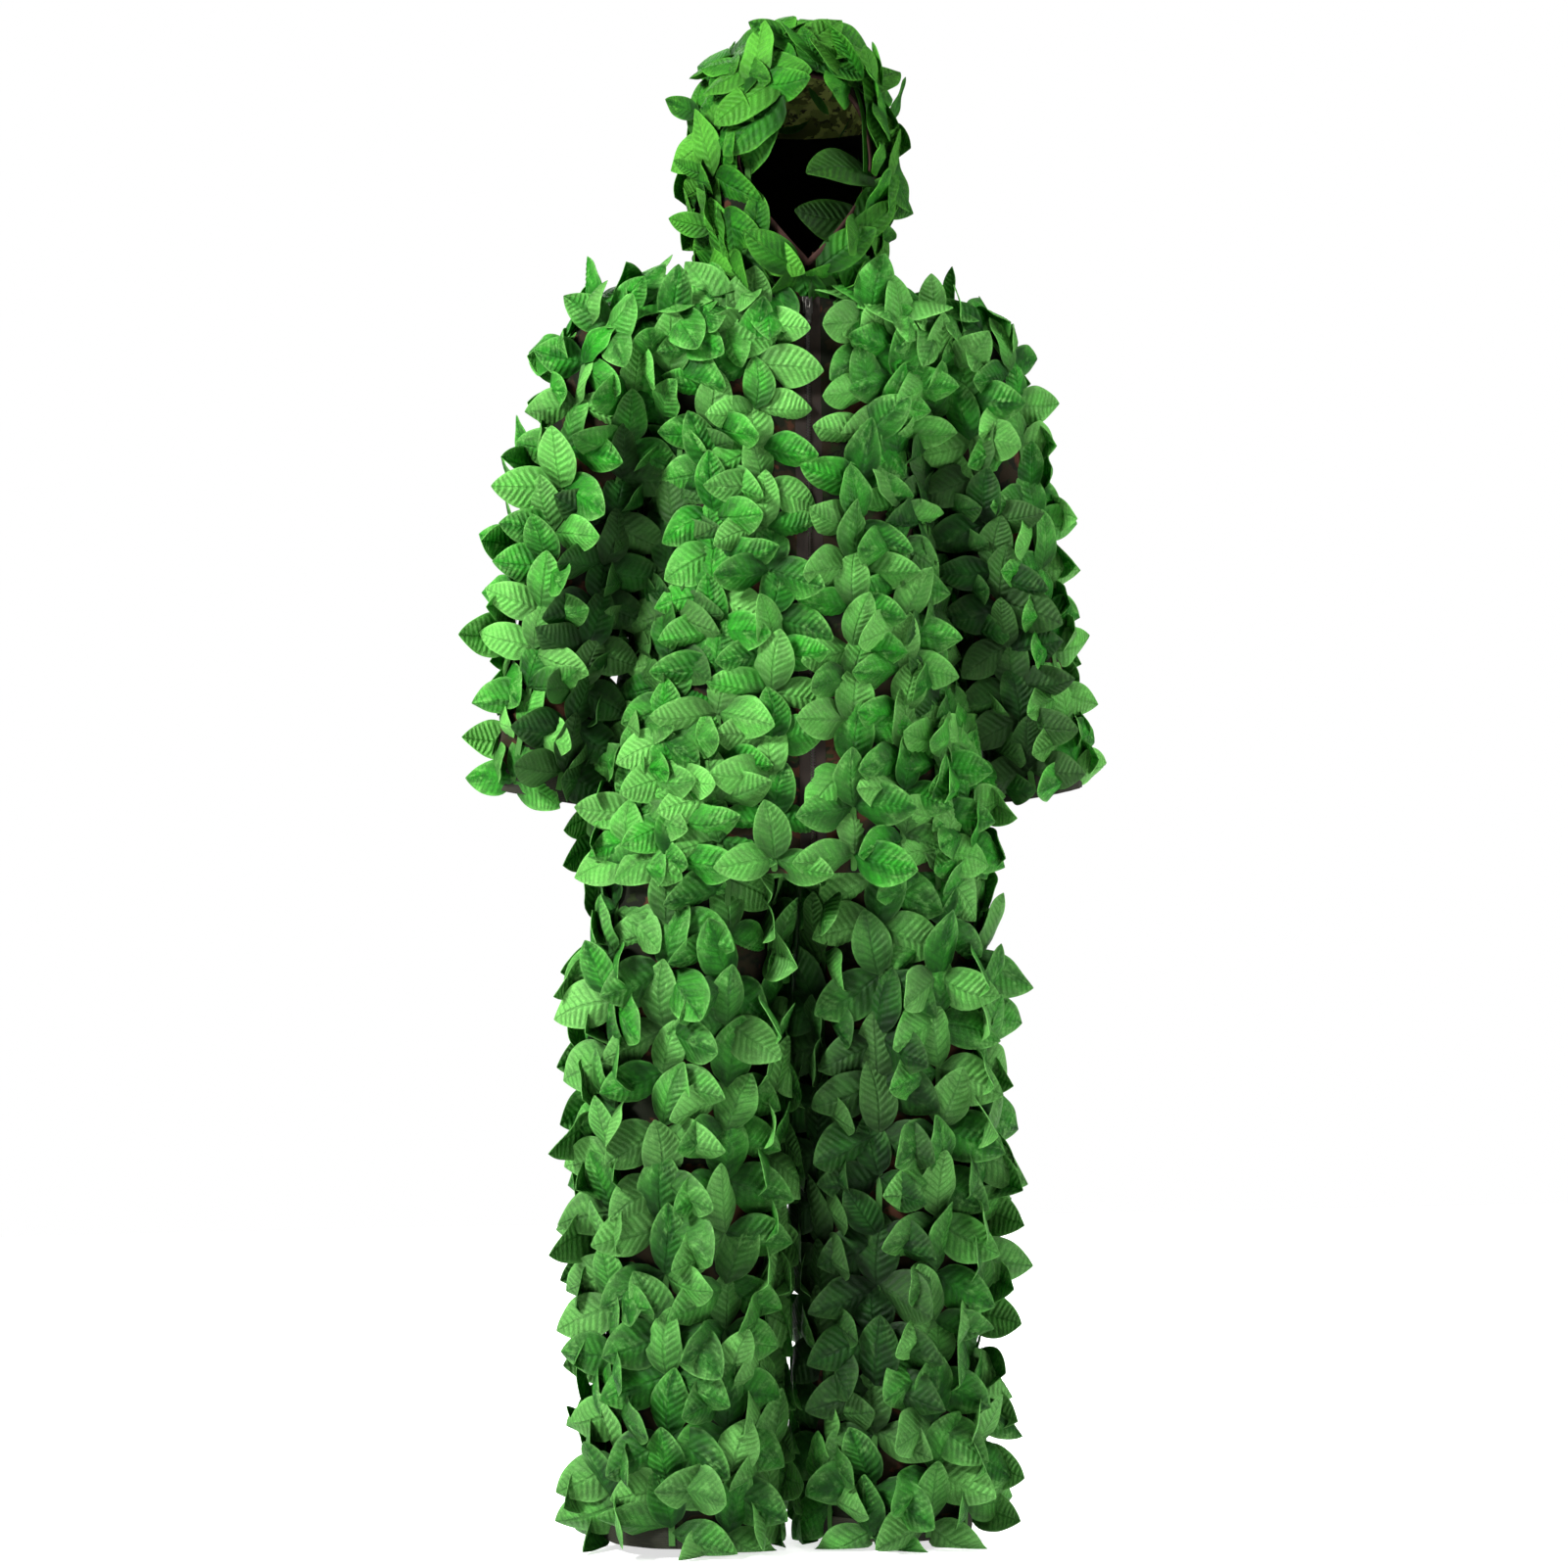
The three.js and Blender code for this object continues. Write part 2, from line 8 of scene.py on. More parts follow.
import bmesh
import bpy
import numpy as np
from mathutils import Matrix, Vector


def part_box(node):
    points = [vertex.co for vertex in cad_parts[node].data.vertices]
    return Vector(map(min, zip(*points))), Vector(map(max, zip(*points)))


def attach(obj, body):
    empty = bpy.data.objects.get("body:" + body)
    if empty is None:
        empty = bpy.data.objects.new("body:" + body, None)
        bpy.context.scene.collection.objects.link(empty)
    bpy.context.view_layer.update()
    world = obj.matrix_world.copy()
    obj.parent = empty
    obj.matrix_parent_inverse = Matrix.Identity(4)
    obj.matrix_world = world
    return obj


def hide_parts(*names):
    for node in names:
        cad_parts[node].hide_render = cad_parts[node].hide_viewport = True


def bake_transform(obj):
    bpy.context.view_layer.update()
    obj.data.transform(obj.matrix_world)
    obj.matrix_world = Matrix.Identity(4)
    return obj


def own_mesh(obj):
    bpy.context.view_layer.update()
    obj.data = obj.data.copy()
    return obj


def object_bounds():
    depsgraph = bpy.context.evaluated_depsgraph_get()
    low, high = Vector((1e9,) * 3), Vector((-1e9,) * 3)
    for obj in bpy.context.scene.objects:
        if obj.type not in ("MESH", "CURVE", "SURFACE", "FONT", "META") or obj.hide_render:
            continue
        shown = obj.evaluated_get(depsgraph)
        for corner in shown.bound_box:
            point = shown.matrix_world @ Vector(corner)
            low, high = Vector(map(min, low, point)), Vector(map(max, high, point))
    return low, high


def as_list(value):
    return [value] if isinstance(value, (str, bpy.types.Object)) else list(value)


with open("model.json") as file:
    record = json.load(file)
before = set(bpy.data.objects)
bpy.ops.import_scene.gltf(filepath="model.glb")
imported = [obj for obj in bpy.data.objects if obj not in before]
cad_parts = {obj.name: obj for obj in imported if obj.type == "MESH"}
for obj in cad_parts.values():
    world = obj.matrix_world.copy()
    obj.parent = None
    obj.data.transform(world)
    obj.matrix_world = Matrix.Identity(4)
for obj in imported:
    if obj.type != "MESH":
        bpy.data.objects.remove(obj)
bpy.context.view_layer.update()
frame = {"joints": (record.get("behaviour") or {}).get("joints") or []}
rng = np.random.default_rng(20)
scene = bpy.context.scene
scene.view_settings.view_transform = "Standard"

WAIST = 1.030
JOINTS = {j["name"]: j for j in frame["joints"]}
SIDES = (("left", 1), ("right", -1))
UP = np.array([0, 0, 1.0])

# ---- Camera -------------------------------------------------------------------------------------

CAMERA_TURN = -12.0  # degrees round to the suit's right
CAMERA_RISE = 1.0
CAMERA_FAR = 6.0
FRAME_COVERS = 1.82  # width of the view at the suit
AIM = (-0.006, 0.0, -0.136)


def make_camera():
    data = bpy.data.cameras.new("camera")
    camera = bpy.data.objects.new("camera", data)
    scene.collection.objects.link(camera)
    turn, rise = math.radians(CAMERA_TURN), math.radians(CAMERA_RISE)
    away = np.array([math.sin(turn) * math.cos(rise), -math.cos(turn) * math.cos(rise), math.sin(rise)])
    camera.location = np.array(AIM) + away * CAMERA_FAR
    camera.rotation_euler = (math.pi / 2 - rise, 0, turn)
    data.sensor_width = 36
    data.lens = 36 * CAMERA_FAR / FRAME_COVERS
    data.clip_end = 60
    scene.camera = camera


make_camera()

# ---- Shapes of the garment ----------------------------------------------------------------------


def curve(xs, ys):
    """A smooth curve through points, which never overshoots them."""
    xs, ys = np.array(xs, float), np.array(ys, float)
    d = np.diff(ys) / np.diff(xs)
    slope = np.concatenate([d[:1], np.zeros(len(d) - 1), d[-1:]])
    for k in range(1, len(d)):
        if d[k - 1] * d[k] > 0:
            slope[k] = 2 * d[k - 1] * d[k] / (d[k - 1] + d[k])

    def at(x):
        x = np.clip(x, xs[0], xs[-1])
        k = np.clip(np.searchsorted(xs, x) - 1, 0, len(xs) - 2)
        w = xs[k + 1] - xs[k]
        t = (x - xs[k]) / w
        a = ys[k] * (1 + 2 * t) * (1 - t) ** 2 + ys[k + 1] * t * t * (3 - 2 * t)
        return a + w * t * (1 - t) * (slope[k] * (1 - t) - slope[k + 1] * t)

    return at


def unit(v):
    return v / np.maximum(np.linalg.norm(v, axis=-1, keepdims=True), 1e-12)


def smoothstep(x, low, high):
    t = np.clip((x - low) / (high - low), 0, 1)
    return t * t * (3 - 2 * t)


class Surface:
    """A surface round a middle line. u is the angle round it in degrees, with 0 at +X (outwards on a
    sleeve) and -90 at the front, and v runs along it."""

    def __init__(self, point, middle, step):
        self.point, self.middle, self.step = point, middle, step

    def frame(self, u, v):
        u, v = np.broadcast_arrays(np.asarray(u, float), np.asarray(v, float))
        p = self.point(u, v)
        du = self.point(u + 0.4, v) - self.point(u - 0.4, v)
        dv = self.point(u, v + self.step) - self.point(u, v - self.step)
        n = unit(np.cross(du, dv))
        inward = (n * (p - self.middle(v))).sum(-1, keepdims=True) < 0
        return p, np.where(inward, -n, n)


def stack(rows):
    """Rounded sections, (height, half width, front, back, squareness) in mm; v counts the rows."""
    rows = np.array(rows, float)
    level = np.arange(len(rows))
    height, wide, front, back = (curve(level, rows[:, k] / 1000) for k in range(4))
    square = curve(level, rows[:, 4])

    def point(u, v):
        power = 2 / square(v)
        c, s = np.cos(np.radians(u)), np.sin(np.radians(u))
        depth = np.where(s < 0, front(v), back(v))
        x = wide(v) * np.sign(c) * np.abs(c) ** power
        y = depth * np.sign(s) * np.abs(s) ** power
        return np.stack([x, y, height(v) - WAIST + 0 * x], -1)

    def middle(v):
        lower = np.maximum(v - 0.9, 0)
        return np.stack([0 * v, 0 * v, height(lower) - WAIST], -1)

    made = Surface(point, middle, 0.01)
    made.height, made.wide, made.square, made.front, made.back = height, wide, square, front, back
    made.level = curve(rows[:, 0] / 1000, level)
    return made


def to_side(side, u):
    """An angle on the left half of a surface, taken to the given side."""
    return u if side > 0 else 180 - u


def angle_at(surface, v, x):
    """The angle in the front right quarter at which a section is x from its middle plane."""
    share = np.clip(np.abs(x) / surface.wide(v), 0, 1)
    return -np.degrees(np.arccos(share ** (surface.square(v) / 2)))


ZIP_SLOPE = 0.06
torso = stack(
    [
        (h, wide, 100 + (1400 - h) * ZIP_SLOPE, back, square)
        for h, wide, back, square in [
            (795, 232, 142, 2.2),
            (870, 219, 138, 2.2),
            (960, 197, 132, 2.2),
            (1080, 180, 126, 2.2),
            (1200, 167, 122, 2.2),
            (1290, 160, 121, 2.3),
            (1300, 163, 121, 2.4),
            (1380, 190, 114, 2.8),
            (1428, 196, 95, 2.8),
            (1446, 145, 88, 2.4),
            (1456, 88, 83, 2.0),
        ]
    ]
)
collar = stack(
    [
        (1440, 106, 98, 92, 2.1),
        (1456, 88, 96, 84, 2.0),
        (1474, 83, 94, 80, 2.0),
        (1502, 88, 101, 87, 2.0),
    ]
)
hood = stack(
    [
        (1478, 84, 97, 84, 2.1),
        (1500, 92, 106, 92, 2.1),
        (1540, 101, 114, 104, 2.1),
        (1600, 106, 118, 112, 2.1),
        (1650, 104, 116, 112, 2.1),
        (1690, 93, 104, 101, 2.1),
        (1720, 72, 82, 78, 2.1),
        (1738, 44, 52, 48, 2.1),
        (1746, 14, 18, 16, 2.1),
        (1747, 1, 1, 1, 2.0),
    ]
)
seat = stack(
    [
        (800, 205, 116, 124, 2.3),
        (900, 198, 112, 122, 2.2),
        (992, 180, 104, 112, 2.1),
        (1030, 172, 100, 108, 2.1),
    ]
)

HEM = 0.022
LEG_X = 0.122
leg_wide = curve([0.02, 0.47, 0.80, 0.87], [0.093, 0.096, 0.098, 0.090])
leg_deep = curve([0.02, 0.47, 0.80, 0.87], [0.088, 0.096, 0.108, 0.104])


def leg(side):
    def point(u, v):
        c, s = np.cos(np.radians(u)), np.sin(np.radians(u))
        return np.stack([side * LEG_X + leg_wide(v) * c, leg_deep(v) * s, v - WAIST + 0 * u], -1)

    def middle(v):
        return np.stack([side * LEG_X + 0 * v, 0 * v, v - WAIST], -1)

    return Surface(point, middle, 0.002)


# A sleeve's middle line leaves the body level, bends down over the shoulder, and then runs straight
# down the arm. v is the distance below the shoulder's pivot along the arm.
SHOULDER = np.array([0.206, 0.0, 1.385 - WAIST])
ARM_SPLAY = math.radians(10.5)
ARM = np.array([math.sin(ARM_SPLAY), 0, -math.cos(ARM_SPLAY)])
ARM_OUT = np.array([math.cos(ARM_SPLAY), 0, math.sin(ARM_SPLAY)])
SLEEVE_LENGTH = 0.513
CUFF = 0.026
BEND_RADIUS = 0.040
BEND_END = 0.028
BEND_ANGLE = math.pi / 2 - ARM_SPLAY
sleeve_wide = curve([-0.1, 0.0, 0.255, 0.513], [0.060, 0.061, 0.055, 0.050])
sleeve_deep = curve([-0.1, 0.0, 0.255, 0.513], [0.064, 0.063, 0.056, 0.050])


def sleeve_line(v):
    """Middle line, its outward direction, at v along the left sleeve."""
    turned = np.clip((BEND_END - v) / BEND_RADIUS, 0, BEND_ANGLE)
    before = np.maximum((BEND_END - v) - BEND_RADIUS * BEND_ANGLE, 0)
    centre = SHOULDER + ARM * BEND_END - ARM_OUT * BEND_RADIUS
    c, s = np.cos(turned)[..., None], np.sin(turned)[..., None]
    out = ARM_OUT * c - ARM * s
    along = ARM * c + ARM_OUT * s
    bent = centre + out * BEND_RADIUS - along * before[..., None]
    straight = SHOULDER + ARM * np.asarray(v)[..., None]
    return np.where((v < BEND_END)[..., None], bent, straight), out


def sleeve(side):
    flip = np.array([side, 1, 1])

    def point(u, v):
        line, out = sleeve_line(v)
        c, s = np.cos(np.radians(u)), np.sin(np.radians(u))
        inner = np.minimum(sleeve_wide(v), BEND_RADIUS - 0.002 + np.maximum(v - BEND_END, 0) * 0.6)
        p = line + out * (np.where(c < 0, inner, sleeve_wide(v)) * c)[..., None]
        p[..., 1] += sleeve_deep(v) * s
        return p * flip

    return Surface(point, lambda v: sleeve_line(v)[0] * flip, 0.002)


# Half the face opening's width at a height: round above, running to a point below
FACE_MIDDLE, FACE_RISE, FACE_DROP, FACE_HALF = 1.606, 0.098, 0.116, 0.078


def face_half(h, margin=0.0):
    size = np.where(h > FACE_MIDDLE, FACE_RISE, FACE_DROP) + margin
    level = np.clip(np.abs(h - FACE_MIDDLE) / size, 0, 1)
    above, below = np.sqrt(1 - level**2), 1 - level**1.6
    return (FACE_HALF + margin) * np.where(h > FACE_MIDDLE, above, below)


# ---- Materials ----------------------------------------------------------------------------------


class Graph:
    """A material's shader nodes."""

    def __init__(self, name):
        self.material = bpy.data.materials.new(name)
        self.material.use_nodes = True
        self.tree = self.material.node_tree
        self.tree.nodes.clear()
        self.out = self.node("OutputMaterial")

    def feed(self, socket, value):
        if isinstance(value, bpy.types.NodeSocket):
            self.tree.links.new(value, socket)
        else:
            socket.default_value = value

    def node(self, kind, values=None, **settings):
        made = self.tree.nodes.new("ShaderNode" + kind)
        for key, value in settings.items():
            setattr(made, key, value)
        for key, value in (values or {}).items():
            self.feed(made.inputs[key], value)
        return made

    def math(self, operation, *values):
        made = self.node("Math", operation=operation)
        for socket, value in zip(made.inputs, values):
            self.feed(socket, value)
        return made.outputs[0]

    def times(self, made, *values):
        for value in values:
            made = self.math("MULTIPLY", made, value)
        return made

    def plus(self, made, *values):
        for value in values:
            made = self.math("ADD", made, value)
        return made

    def step(self, value, low, high, start=0.0, end=1.0):
        values = {"Value": value, "From Min": low, "From Max": high, "To Min": start, "To Max": end}
        return self.node("MapRange", values, interpolation_type="SMOOTHSTEP").outputs[0]

    def mix(self, factor, a, b, how="MIX"):
        made = self.node("Mix", data_type="RGBA", blend_type=how)
        for k, value in ((0, factor), (6, a), (7, b)):
            self.feed(made.inputs[k], value)
        return made.outputs[2]

    def shaded(self, color, factor):
        """A colour made darker or lighter by a factor."""
        return self.mix(1.0, color, self.vector(factor, factor, factor), "MULTIPLY")

    def noise(self, vector, scale, detail=2.0, rough=0.5):
        values = {"Vector": vector, "Scale": scale, "Detail": detail, "Roughness": rough}
        return self.node("TexNoise", values).outputs["Fac"]

    def attribute(self, name):
        """An attribute of the mesh as a vector and its three numbers."""
        vector = self.node("Attribute", attribute_name=name).outputs["Vector"]
        return (vector, *self.node("SeparateXYZ", {"Vector": vector}).outputs)

    def vector(self, x, y, z):
        return self.node("CombineXYZ", {"X": x, "Y": y, "Z": z}).outputs[0]

    def bump(self, height, strength, distance, under=None):
        values = {"Height": height, "Strength": strength, "Distance": distance}
        if under is not None:
            values["Normal"] = under
        return self.node("Bump", values).outputs[0]

    def principled(self, **values):
        named = {key.replace("_", " "): value for key, value in values.items()}
        return self.node("BsdfPrincipled", named).outputs[0]

    def done(self, shader):
        self.tree.links.new(shader, self.out.inputs["Surface"])
        return self.material

    def finish(self, color, rough, normal, **values):
        values = {"Base_Color": color, "Roughness": rough, "Normal": normal, **values}
        return self.done(self.principled(**values))


def rgb(r, g, b):
    """A colour given in sRGB from 0 to 255, as linear light."""
    lin = [c / 255 / 12.92 if c <= 10 else ((c / 255 + 0.055) / 1.055) ** 2.4 for c in (r, g, b)]
    return (*lin, 1.0)


VEINS = 10


def leaf_material(name, dark, middle, light, glow, ribbed):
    """Die-cut polyester leaves with pressed veins. The mesh's "leaf" holds, at each point, the place
    across the leaf from -1 to 1, the row along it from 0 to 1, and one random number for the leaf."""
    g = Graph(name)
    _, across, row, chance = g.attribute("leaf")
    out = g.math("ABSOLUTE", across)
    own = g.vector(g.times(across, 0.6), row, g.times(chance, 90.0))
    patches = g.noise(own, 2.6, 4.0, 0.6)
    grain = g.noise(own, 55.0, 2.0, 0.7)
    blotch = g.noise(own, 13.0, 3.0, 0.65)

    # each leaf's own colour and brightness
    tone = g.node("TexWhiteNoise", {"W": g.times(chance, 313.0)}, noise_dimensions="1D").outputs["Value"]
    color = g.mix(g.step(patches, 0.34, 0.64), dark, middle)
    color = g.mix(g.step(tone, 0.3, 1.0, 0.0, 0.6), color, light)
    color = g.shaded(color, g.step(g.math("FRACT", g.times(chance, 57.0)), 0.0, 1.0, 0.62, 1.14))

    # painted shade in the grooves between the pressed veins and along the midrib, and a lighter outer half
    # and rim
    wobble = g.times(g.math("SUBTRACT", g.noise(own, 4.0, 2.0), 0.5), 3.0)
    turn = g.plus(g.times(row, 2 * math.pi * VEINS), wobble)
    fade = g.times(g.step(out, 1.0, 0.7), g.step(blotch, 0.25, 0.6, 0.25, 1.0))
    ridge = g.times(g.math("COSINE", turn), fade)
    midrib = g.step(out, 0.10, 0.02)
    painted_groove_shade = g.math("MAXIMUM", g.step(ridge, 0.0, -1.0), g.times(midrib, 0.8))
    # ribbed sets how dark the painted shade in the grooves is
    color = g.mix(g.times(painted_groove_shade, ribbed), color, dark)
    pale = g.step(g.noise(own, 5.0, 3.0, 0.7), 0.48, 0.72, 0.0, 0.42)
    color = g.mix(g.times(pale, g.step(row, 0.15, 0.6)), color, light)
    # the lighter outer half and rim are partly the leaf's own paler edge and partly painted highlight
    outer = g.times(g.step(out, 0.15, 1.0), g.step(row, 0.1, 0.75))
    color = g.mix(g.times(outer, 0.24), color, light)
    rim = g.math("MAXIMUM", g.step(out, 0.84, 1.0), g.step(row, 0.93, 1.0))
    color = g.mix(g.times(rim, g.step(blotch, 0.3, 0.7, 0.06, 0.4)), color, light)

    # painted shade towards each leaf's foot, a speckle of grain and blotches, and the painted shading that
    # each leaf carries
    foot = g.step(row, 0.0, 0.4, 0.45, 1.0)
    speck = g.times(g.step(grain, 0.3, 0.7, 0.78, 1.18), g.step(blotch, 0.3, 0.7, 0.78, 1.12))
    leaf_painted_shading = g.node("Attribute", attribute_name="shade").outputs["Fac"]
    color = g.shaded(color, g.times(g.times(foot, speck), leaf_painted_shading))

    pressed = g.math("SUBTRACT", g.times(ridge, 0.6), midrib)
    normal = g.bump(g.plus(g.times(g.plus(grain, blotch), 0.4), pressed), 0.9, 0.0014)
    rough = g.step(patches, 0.3, 0.7, 0.52, 0.66)
    face = g.principled(Base_Color=color, Roughness=rough, Normal=normal, Specular_IOR_Level=0.14)
    through = g.node("BsdfTranslucent", {"Color": g.mix(0.5, color, glow)}).outputs[0]
    return g.done(g.node("MixShader", {0: 0.2, 1: face, 2: through}).outputs[0])


def camo(g, place, colors, scale):
    """Printed camouflage: soft-edged patches of four colours."""
    warp = g.noise(place, scale * 2.6, 3.0, 0.6)
    first = g.noise(place, scale, 3.0, 0.6)
    moved = g.node("VectorMath", {0: place, 1: (0.37, 0.11, 0.2)}, operation="ADD").outputs[0]
    second = g.noise(moved, scale * 1.25, 3.0, 0.6)
    color = g.mix(g.step(first, 0.49, 0.52), colors[0], colors[1])
    color = g.mix(g.step(second, 0.54, 0.57), color, colors[2])
    return g.mix(g.step(warp, 0.60, 0.63), color, colors[3])


def weave(g, x, y, pitch):
    """The height of a plain weave whose threads are pitch apart."""
    a, b = (g.math("SINE", g.times(side, 2 * math.pi / pitch)) for side in (x, y))
    return g.times(a, b, 0.5)


def cloth_material(name, colors):
    """Woven camouflage cloth. The mesh's "cloth" holds the place on the flat cloth in metres."""
    g = Graph(name)
    place, x, y, _ = g.attribute("cloth")
    color = camo(g, place, colors, 14.0)
    threads = weave(g, x, y, 0.0011)
    fuzz = g.noise(place, 900.0, 2.0, 0.6)
    color = g.shaded(color, g.step(g.plus(g.times(threads, 0.4), fuzz), 0.2, 0.9, 0.78, 1.14))
    wear = g.step(g.noise(place, 24.0, 4.0, 0.65), 0.45, 0.8, 0.0, 0.3)
    color = g.mix(wear, color, colors[3])
    normal = g.bump(g.plus(threads, fuzz), 0.5, 0.0004)
    return g.finish(color, 0.92, normal, Sheen_Weight=0.02, Specular_IOR_Level=0.1)


def lining_material(name):
    """Near-black lining. Above a line inside the hood it is an olive camouflage print."""
    g = Graph(name)
    place, x, y, height = g.attribute("cloth")
    olive = camo(g, place, [rgb(128, 142, 72), rgb(86, 94, 44), rgb(158, 168, 92), rgb(60, 62, 32)], 34.0)
    edge = g.plus(height, g.times(g.noise(place, 30.0), 0.006))
    color = g.mix(g.step(edge, 1.655, 1.657), rgb(9, 11, 8), olive)
    seam = g.step(g.math("ABSOLUTE", x), 0.0028, 0.0016)
    color = g.mix(seam, color, rgb(12, 12, 9))
    normal = g.bump(g.plus(weave(g, x, y, 0.0010), g.noise(place, 800.0, 2.0, 0.6)), 0.5, 0.0004)
    return g.finish(color, 0.9, normal, Specular_IOR_Level=0.15)


def band_material(name, base, lighter, ribs):
    """Ribbed band: elastic, tape or binding, with its ribs across the cloth's first direction."""
    g = Graph(name)
    place, x, y, _ = g.attribute("cloth")
    rib = g.math("SINE", g.times(y, 2 * math.pi / ribs))
    stain = g.noise(place, 60.0, 3.0, 0.6)
    color = g.mix(g.step(g.plus(g.times(rib, 0.25), g.times(stain, 0.9)), 0.2, 0.9), base, lighter)
    normal = g.bump(g.plus(rib, weave(g, x, y, 0.0008), g.noise(place, 1100.0, 2.0, 0.6)), 0.6, 0.0003)
    return g.finish(color, 0.85, normal, Specular_IOR_Level=0.3)


def hard_material(name, base, worn, metallic, rough, wear_scale):
    """Moulded plastic or lacquered metal with rubbed patches and fine scratches."""
    g = Graph(name)
    place = g.node("TexCoord").outputs["Object"]
    patch = g.noise(place, wear_scale, 4.0, 0.7)
    stretched = g.node("Mapping", {"Vector": place, "Scale": (1.0, 1.0, 12.0)}).outputs[0]
    scratch = g.noise(stretched, wear_scale * 9, 3.0, 0.7)
    color = g.mix(g.step(patch, 0.5, 0.75), base, worn)
    wear = g.step(scratch, 0.3, 0.8, rough - 0.12, rough + 0.15)
    return g.finish(color, wear, g.bump(scratch, 0.15, 0.0002), Metallic=metallic)



BROWN = [rgb(34, 27, 16), rgb(15, 18, 9), rgb(58, 34, 22), rgb(24, 34, 12)]
MATERIALS = {
    "base_cloth": cloth_material("brown_camouflage_cloth", BROWN),
    "lining": lining_material("black_lining"),
    "band": band_material("dark_hem_band", rgb(18, 20, 10), rgb(34, 34, 18), 0.002),
    "binding": band_material("red_brown_binding", rgb(40, 22, 16), rgb(66, 36, 26), 0.0016),
    "elastic": band_material("ribbed_elastic", rgb(22, 22, 22), rgb(52, 52, 52), 0.003),
    "zip_tape": band_material("zip_tape_weave", rgb(22, 16, 11), rgb(40, 27, 18), 0.0012),
    "zip_teeth": hard_material("zip_tooth_plastic", rgb(26, 19, 13), rgb(46, 34, 24), 0.0, 0.42, 300),
    "zip_metal": hard_material("zip_lacquered_zinc", rgb(92, 90, 86), rgb(160, 156, 148), 1.0, 0.36, 220),
    "jacket_leaf": leaf_material(
        "jacket_leaves", rgb(10, 82, 6), rgb(36, 134, 24), rgb(128, 200, 100), rgb(70, 220, 20), 0.34
    ),
    "hood_leaf": leaf_material(
        "hood_leaves", rgb(12, 74, 6), rgb(34, 110, 16), rgb(88, 162, 52), rgb(70, 190, 20), 0.22
    ),
    "trouser_leaf": leaf_material(
        "trouser_leaves", rgb(10, 66, 8), rgb(38, 116, 26), rgb(118, 184, 94), rgb(60, 190, 20), 0.5
    ),
}

# ---- Meshes -------------------------------------------------------------------------------------


def make_object(name, points, faces, materials, attributes, sharp=50):
    """A mesh object. faces is a list of arrays of quads; materials gives one material for each."""
    mesh = bpy.data.meshes.new(name)
    quads = np.concatenate(faces).astype(np.int32)
    mesh.vertices.add(len(points))
    mesh.vertices.foreach_set("co", np.asarray(points, np.float32).ravel())
    mesh.loops.add(quads.size)
    mesh.loops.foreach_set("vertex_index", quads.ravel())
    mesh.polygons.add(len(quads))
    mesh.polygons.foreach_set("loop_start", np.arange(0, quads.size, 4, dtype=np.int32))
    mesh.polygons.foreach_set("use_smooth", np.ones(len(quads), bool))
    different = list(dict.fromkeys(materials))
    for used in different:
        mesh.materials.append(MATERIALS[used])
    index = np.concatenate([np.full(len(f), different.index(m)) for f, m in zip(faces, materials)])
    mesh.polygons.foreach_set("material_index", index.astype(np.int32))
    for key, values in attributes.items():
        values = np.asarray(values, np.float32)
        kind, field = ("FLOAT_VECTOR", "vector") if values.ndim == 2 else ("FLOAT", "value")
        mesh.attributes.new(key, kind, "POINT").data.foreach_set(field, values.ravel())
    mesh.update(calc_edges=True)
    mesh.validate()
    mesh.set_sharp_from_angle(angle=math.radians(sharp))
    made = bpy.data.objects.new(name, mesh)
    scene.collection.objects.link(made)
    return made


def grid_quads(index):
    """The quads of a grid of point numbers."""
    a, b, c, d = index[:-1, :-1], index[:-1, 1:], index[1:, 1:], index[1:, :-1]
    return np.stack([a, b, c, d], -1).reshape(-1, 4)


def shell_faces(rows, cols, closed=False):
    """Quads of a sheet with two layers, each rows x cols points: outer face, inner face and rim."""
    size = rows * cols
    index = np.arange(size).reshape(rows, cols)
    if closed:
        index = np.concatenate([index, index[:, :1]], 1)
    outer = grid_quads(index)
    rims = [(index[0], True), (index[-1], False)]
    if not closed:
        rims += [(index[:, 0], False), (index[:, -1], True)]
    rim = []
    for line, ahead in rims:
        quad = np.stack([line[:-1], line[1:], line[1:] + size, line[:-1] + size], -1)
        rim.append(quad if ahead else quad[:, ::-1])
    return outer, outer[:, ::-1] + size, np.concatenate(rim)


def facing_out(points, faces):
    """Turns the faces round if the closed mesh is inside out."""
    quads = np.concatenate(faces)
    a, b, c, d = (points[quads[:, k]] for k in range(4))
    volume = (a * np.cross(b, c)).sum() + (a * np.cross(c, d)).sum()
    return [f[:, ::-1] for f in faces] if volume < 0 else list(faces)


def two_layers(name, outer, inner, materials, flat, closed=False):
    """A closed sheet between two grids of points. flat is the grid of places on the flat cloth."""
    rows, cols = outer.shape[:2]
    points = np.concatenate([outer.reshape(-1, 3), inner.reshape(-1, 3)])
    faces = facing_out(points, shell_faces(rows, cols, closed))
    face, lining = materials
    places = np.tile(flat.reshape(-1, 3), (2, 1))
    return make_object(name, points, faces, [face, lining, face], {"cloth": places})


def cloth_sheet(name, surface, u, v, lift, thickness, materials, flat, closed=False):
    """A sheet of cloth on a surface. u, v and lift are grids, flat the grid of flat positions."""
    p, n = surface.frame(u, v)
    outer = p + n * lift[..., None]
    return two_layers(name, outer, outer - n * thickness, materials, flat, closed)


def area_of(obj):
    """Half of a closed sheet's surface: the area of its cloth."""
    mesh = obj.data
    areas = np.zeros(len(mesh.polygons), np.float32)
    mesh.polygons.foreach_get("area", areas)
    return float(areas.sum()) / 2


